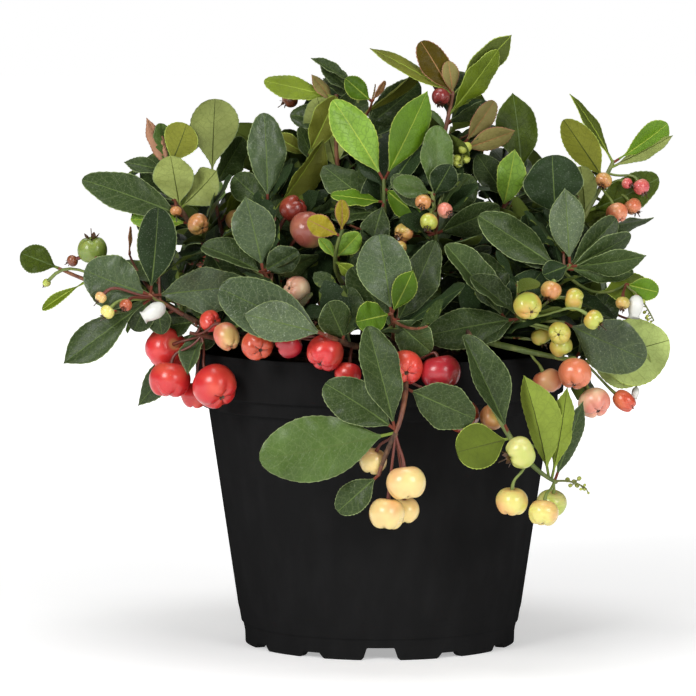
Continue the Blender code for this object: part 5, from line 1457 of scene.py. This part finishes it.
def make_soil_piece(peat):
    """The peat: its top rises to the middle, with clods by waves of many sizes, and loose crumbs on it."""
    chance = np.random.default_rng(SEED)
    inner = WALL + GAP
    step_foot = POT_HEIGHT - RIM_BAND - RIM_STEP
    low = [(0, FLOOR_TOP + GAP), (WALL_FOOT_RADIUS - inner - SOIL_FOOT_TUCK, FLOOR_TOP + GAP),
           (WALL_TOP_RADIUS - inner, step_foot), (BAND_RADIUS - inner - 0.5, SOIL_RIM - 1.5)]
    shoulder = BAND_RADIUS - inner - SOIL_SHOULDER
    slope = [(radius, SOIL_TOP + (SOIL_RIM - SOIL_TOP) * max(radius - SOIL_CREST_RADIUS, 0)
              / (shoulder - SOIL_CREST_RADIUS)) for radius in np.linspace(shoulder, 1.5, 44)]
    ways = chance.uniform(0, 2 * math.pi, 26)
    pitches = chance.uniform(0.12, 1.6, 26)
    phases = chance.uniform(0, 2 * math.pi, 26)

    def clods(radius, height, turn):
        x, y = radius * np.cos(turn), radius * np.sin(turn)
        rise = sum(np.sin((x * math.cos(way) + y * math.sin(way)) * pitch + phase) / (1 + 2.2 * pitch)
                   for way, pitch, phase in zip(ways, pitches, phases))
        return radius, height + np.where(height > SOIL_RIM - 1.6, rise * 0.22, 0)

    batch = Batch()
    turned_surface(batch, low + slope + [(0, SOIL_TOP)], 220, clods)
    turn = np.arange(6) * math.pi / 3
    for _ in range(520):
        away = shoulder * math.sqrt(chance.uniform(0.02, 1))
        round_pot = chance.uniform(0, 2 * math.pi)
        size = chance.uniform(0.35, 1.3)
        height = SOIL_TOP + (SOIL_RIM - SOIL_TOP) * max(away - SOIL_CREST_RADIUS, 0) / (shoulder - SOIL_CREST_RADIUS)
        middle = np.array((away * math.cos(round_pot), away * math.sin(round_pot), height + size * 0.3))
        levels = np.array((-0.7, 0, 0.7))
        across = np.sqrt(1 - levels**2)[:, None] * size * chance.uniform(0.7, 1.3, (3, 6))
        rings = np.stack((across * np.cos(turn), across * np.sin(turn),
                          np.tile(levels[:, None] * size * 0.8, (1, 6))), axis=-1)
        batch.skin(middle + rings)
    piece = batch.piece("soil_surface", [peat], 60)
    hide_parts("soil")


def bark_relief(rows, around, chance, strength):
    """Ring-wise swellings and long ridges, as a share of the radius."""
    station = np.linspace(0, 1, rows)[:, None]
    turn = np.arange(around)[None, :] * 2 * math.pi / around
    rings = strength * np.sin(station * chance.uniform(20, 34) + chance.uniform(0, 6)) ** 6
    ridges = strength * 0.7 * np.sin(3 * turn + 5 * station + chance.uniform(0, 6)) * np.sin(9 * station + turn)
    return 1 + rings + ridges


def make_bark_piece(boughs, bark):
    """The crown and the boughs, whose feet sink into it and whose tips meet their masses' stems."""
    chance = random.Random(f"{SEED} bark")
    batch = Batch()
    foot = SOIL_TOP + GAP
    heights = np.linspace(0, CROWN_HEIGHT, 34)
    profile = [(0, foot - 0.6)] + [(crown_radius(height), foot + height) for height in heights]
    profile += [(CROWN_RADIUS * 0.6, foot + CROWN_HEIGHT + 0.8), (0, foot + CROWN_HEIGHT + 1.0)]

    def ridged(radius, height, turn):
        up = (height - foot) / CROWN_HEIGHT
        ridge = np.sin(11 * turn + 2.5 * np.sin(5 * up)) * 0.035 + np.sin(23 * turn + 9 * up) * 0.02
        knots = 0.06 * np.sin(4 * turn + 6 * up) * np.sin(8 * up)
        return radius * (0.93 + ridge + knots), height

    turned_surface(batch, profile, 96, ridged)
    for name, (route, radii) in boughs.items():
        points = [np.array(point) for point in route]
        points[0] = points[0] - unit(points[1] - points[0]) * 2.0
        points[-1] = points[-1] + unit(points[-1] - points[-2]) * (GAP + 1.0)
        path = curve_through(points, 36)
        radius = np.interp(np.linspace(0, 1, 36), np.linspace(0, 1, len(radii)), radii)
        tube(batch, path, radius * 0.96, 12, swell=bark_relief(36, 12, chance, 0.12))
    piece = batch.piece("stem_and_boughs", [bark], 60)
    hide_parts("crown", *(f"bough_{name}" for name in boughs))


def make_twig_piece(grown, barks):
    """The masses' stems and twigs: brown and rough at their feet, and green or red shoots at their tips."""
    batch = Batch()
    for name, mass in grown.items():
        chance = random.Random(f"{SEED} {name} twigs")
        for limb, radii, kind in mass["limbs"]:
            rows, around = (10, 6) if kind == "fine" else (26, 10)
            stations = np.linspace(0, 1, rows)
            path = np.array([on_limb(limb, t) for t in stations])
            radius = np.array([between(radii, t) for t in stations]) * (1 - 0.25 * stations)
            green = name in GREEN_STEMMED
            young = 0.1 if kind == "fine" or green else chance.uniform(0.4, 0.75)
            shoot = 2 if green else chance.choice((1, 1, 2))
            slots = np.where(stations[1:] > young, shoot, 0)[:, None] * np.ones((1, around), int)
            swell = bark_relief(rows, around, chance, 0.1) if kind == "stem" else None
            tube(batch, path, radius, around, slots, swell)
    piece = batch.piece("twigs", barks, 60)


def make_leaf_pieces(grown):
    """The leaves, a piece for each part of the plant, which stands for the masses that it holds."""
    materials, looks = leaf_finishes()
    parts = {}
    for name, mass in grown.items():
        part = "leaves_back" if name in BACK_MASSES else "leaves_left" if MASSES[name]["stem"][0][0] < 2 \
            else "leaves_right"
        batch, nodes = parts.setdefault(part, (Batch(), []))
        nodes.append(f"foliage_{name}")
        chance = random.Random(f"{SEED} {name} blades")
        for grade, rows in (("shown", mass["set_leaves"]), ("filling", mass["leaves"])):
            for leaf, look in rows:
                tone, *habits = look.split()
                leaf_surface(batch, leaf, looks[tone], grade, chance, habits)
        fine, _ = parts.setdefault("leaves_small", (Batch(), []))
        for leaf, tone in mass["fine_leaves"]:
            leaf_surface(fine, leaf, looks[tone], "fine", chance)
    for part, (batch, nodes) in parts.items():
        piece = batch.piece(part, materials, 40)
        if nodes:
            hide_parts(*nodes)


def make_buds(batch, berry, chance, slots):
    """A raceme: a thin axis from the berry's root, with small buds in turn along its outer half."""
    root, along, reach, bulk = berry
    root, along = np.array(root), np.array(along)
    tip = root + along * reach
    sag = np.array((0, 0, -0.12 * reach))
    path = bezier(root, root + along * reach * 0.4 - sag, tip - along * reach * 0.3 - sag, tip + sag * 0.3, 14)
    tube(batch, path, np.linspace(0.42, 0.22, 14), 6, slots["axis"])
    for step in range(11):
        t = 0.42 + 0.058 * step
        foot = path[int(t * 13)] + (path[min(int(t * 13) + 1, 13)] - path[int(t * 13)]) * ((t * 13) % 1)
        out = unit([chance.uniform(-1, 1), chance.uniform(-1, 1), chance.uniform(-0.7, 0.5)])
        size = bulk * between((0.8, 0.4), step / 10)
        end = foot + out * (size + 1.3)
        tube(batch, bezier(foot, foot + out * 0.5, end - out * 0.8, end, 5), np.full(5, 0.2), 5, slots["axis"])
        berry_surface(batch, end, -out, size, (slots["bud"], slots["bud"], slots["tip"]), chance, 1.25)


def make_bell(batch, berry, chance, slots, lean):
    """A flower: a hanging bell, widest above its middle and drawn in at its mouth, with five sepals on top."""
    root, along, reach, size = berry
    centre = np.array(root + along * reach)
    aim = unit((lean, 0.25, 1.0))
    tube(batch, stalk_path(root, centre, aim, size, reach), np.full(12, 0.35), 6, slots["axis"])
    s = np.linspace(0, 1, 12)
    out = size * np.interp(s, (0, 0.12, 0.4, 0.75, 0.9, 1), (0.25, 0.75, 1.0, 0.82, 0.62, 0.78))
    down = 1.1 * size - 2.9 * size * s
    inner = [(0.62, -1.7), (0.5, -1.3), (0.55, -0.4), (0.3, 0.4)]
    out = np.concatenate((out, [share * size for share, _ in inner]))
    down = np.concatenate((down, [share * size for _, share in inner]))
    turn = np.arange(20) * 2 * math.pi / 20
    side = unit(np.cross(aim, (0.4, 0.3, 0.2)))
    up = np.cross(aim, side)
    flare = 1 + 0.1 * np.sin(5 * turn)[None, :] * np.exp(-((down[:, None] / size + 1.8) / 0.4) ** 2)
    rings = (centre + aim * down[:, None, None] + (out[:, None] * flare * np.cos(-turn))[..., None] * side
             + (out[:, None] * flare * np.sin(-turn))[..., None] * up)
    batch.skin(rings, slots["petal"])
    for step in range(5):
        angle = step * 2 * math.pi / 5
        way = side * math.cos(angle) + up * math.sin(angle)
        scale_leaf(batch, centre + aim * 1.15 * size, way - aim * 0.9, aim, size * 1.15, size * 0.8, slots["sepal"])


GREEN_STEMMED = ("right_hanging", "right_low", "right_upper", "right_front")
BELL_LEAN = dict(left=1.8, right_low=0.2, right_crest=0.15)
YOUNG_BERRY = 3.4


def make_fruit_pieces(grown):
    """Berries on their stalks, racemes of buds and flowers: fruit in one piece and blossom in another."""
    materials, looks, star = berry_finishes()
    stalks = {name: len(materials) + k for k, name in enumerate(BERRY_STALK_TONES)}
    for name, tone in BERRY_STALK_TONES.items():
        materials.append(finish(f"berry_stalk_{name}", BLADE, (0.3, 0.0001), 0.1, Tone=linear(tone)))
    blossom_tones = dict(axis=(126, 134, 66), bud=(170, 178, 76), tip=(196, 120, 70), petal=(252, 252, 244),
                         sepal=(202, 130, 84))
    blossom_materials = [finish(f"blossom_{name}", BLADE, (0.2, 0.0001), 0.1, Tone=linear(tone))
                         for name, tone in blossom_tones.items()]
    blossom_slots = {name: k for k, name in enumerate(blossom_tones)}
    fruit, blossom = Batch(), Batch()
    for name, mass in grown.items():
        chance = random.Random(f"{SEED} {name} fruit")
        for berry, (tone, *own) in mass["berries"]:
            if tone == "buds":
                make_buds(blossom, berry, chance, blossom_slots)
                continue
            if tone == "bell":
                make_bell(blossom, berry, chance, blossom_slots, BELL_LEAN[name])
                continue
            root, along, reach, radius = berry
            centre = root + along * reach
            aim = unit(own[0]) if own else berry_aim(along, chance)
            chubby = own[1] if len(own) > 1 else chance.uniform(0.94, 1.04)
            skin, crease = looks[tone]
            berry_surface(fruit, centre, aim, radius, (skin, crease, star), chance, chubby)
            path = stalk_path(root, centre, aim, radius, reach)
            thick = 0.42 + 0.25 * np.linspace(0, 1, 12) ** 4
            stalk = "fresh" if name in GREEN_STEMMED else BERRY_LOOKS[tone][3]
            tube(fruit, path, thick, 7, stalks[stalk])
            if radius < YOUNG_BERRY or tone in ("green", "wax"):
                berry_end(fruit, np.array(centre), aim, radius, star, chance)
    for name, batch, made in (("berries", fruit, materials), ("blossom", blossom, blossom_materials)):
        batch.piece(name, made, 70)


def lamp(name, place, aim, size, power):
    """A square soft light that looks from its place at its aim, both in metres."""
    light = bpy.data.lights.new(name, "AREA")
    light.size = size
    light.energy = power
    obj = bpy.data.objects.new(name, light)
    obj.location = place
    obj.rotation_euler = (Vector(aim) - Vector(place)).to_track_quat("-Z", "Y").to_euler()
    bpy.context.scene.collection.objects.link(obj)


def set_stage():
    """The pale floor, which glows as painted light, the studio's light and the photograph's view."""
    for name, place, size, power in (("key", (-0.62, -0.85, 0.62), 0.42, 7.4),
                                     ("fill", (0.62, -0.85, 0.5), 0.42, 4.6),
                                     ("top", (0.0, -0.05, 1.25), 0.7, 5.2), ("back", (0.2, 0.9, 0.75), 0.6, 1.1)):
        lamp(name, place, (0, 0, 0.1), size, power)
    world = bpy.data.worlds.new("studio")
    bpy.context.scene.world = world
    world.use_nodes = True
    tree = world.node_tree
    way = node_of(tree, "TexCoord").outputs["Generated"]
    height = wire(tree, node_of(tree, "SeparateXYZ"), Vector=way).outputs["Z"]
    strength = wire(tree, node_of(tree, "MapRange"), Value=height, From_Min=0.015, From_Max=0.06, To_Min=1.0,
                    To_Max=0.08).outputs[0]
    wire(tree, tree.nodes["Background"], Color=(1, 1, 1, 1), Strength=strength)
    bpy.ops.mesh.primitive_plane_add(size=60.0, location=(0, 0, 0))
    floor = bpy.context.object
    floor.name = "floor"
    paper = finish("floor_paper", TWO_TONE, (0.0, 0.0001), Dark=(0.84, 0.84, 0.84, 1), Light=(0.86, 0.86, 0.86, 1),
                   Scale=(3, 3, 3), Smooth=0.9, Rough=1.0, specular=0.0)
    tree = paper.node_tree
    # Painted light: the floor glows, from 0.4 near the plant to 0.95 far from it, so that its shade reads white.
    where = node_of(tree, "TexCoord").outputs["Object"]
    away = wire(tree, node_of(tree, "VectorMath", operation="LENGTH"), n0=where).outputs["Value"]
    glow = wire(tree, node_of(tree, "MapRange"), Value=away, From_Min=0.1, From_Max=0.9, To_Min=0.4,
                To_Max=0.95).outputs[0]
    wire(tree, tree.nodes["Principled BSDF"], Emission_Color=(1, 1, 1, 1), Emission_Strength=glow)
    floor.data.materials.append(paper)
    view = bpy.data.cameras.new("view")
    view.lens = EYE_LENS
    view.sensor_width = SENSOR
    view.clip_end = 20.0
    camera = bpy.data.objects.new("view", view)
    camera.location = EYE * MM
    camera.rotation_euler = (math.pi / 2 - EYE_PITCH, 0, 0)
    bpy.context.scene.collection.objects.link(camera)
    bpy.context.scene.camera = camera
    bpy.context.scene.view_settings.view_transform = "Standard"


def main():
    grown, boughs = grow()
    plastic = finish("pot_plastic", TWO_TONE, (0.12, 0.0001), specular=0.0,
                     Dark=(0.0122, 0.0122, 0.0124, 1), Light=(0.0148, 0.0148, 0.0151, 1), Scale=(160, 160, 60),
                     Smooth=0.42, Rough=0.6)
    peat = finish("peat", TWO_TONE, (0.9, 0.0006), Dark=(0.006, 0.004, 0.003, 1), Light=(0.055, 0.035, 0.022, 1),
                  Scale=(380, 380, 380), Smooth=0.9, Rough=1.0)
    bark = finish("bark", TWO_TONE, (0.7, 0.0004), Dark=linear((62, 40, 28)), Light=linear((132, 96, 68)),
                  Scale=(420, 420, 160), Smooth=0.65, Rough=0.9)
    red_shoot = finish("shoot_red", TWO_TONE, (0.3, 0.0002), Dark=linear((100, 54, 38)), Light=linear((154, 104, 70)),
                       Scale=(300, 300, 120), Smooth=0.4, Rough=0.6)
    green_shoot = finish("shoot_green", TWO_TONE, (0.3, 0.0002), Dark=linear((84, 100, 46)),
                         Light=linear((136, 142, 74)), Scale=(300, 300, 120), Smooth=0.4, Rough=0.6)
    make_pot_piece(plastic)
    make_soil_piece(peat)
    make_bark_piece(boughs, bark)
    make_twig_piece(grown, [bark, red_shoot, green_shoot])
    make_leaf_pieces(grown)
    make_fruit_pieces(grown)
    set_stage()


main()
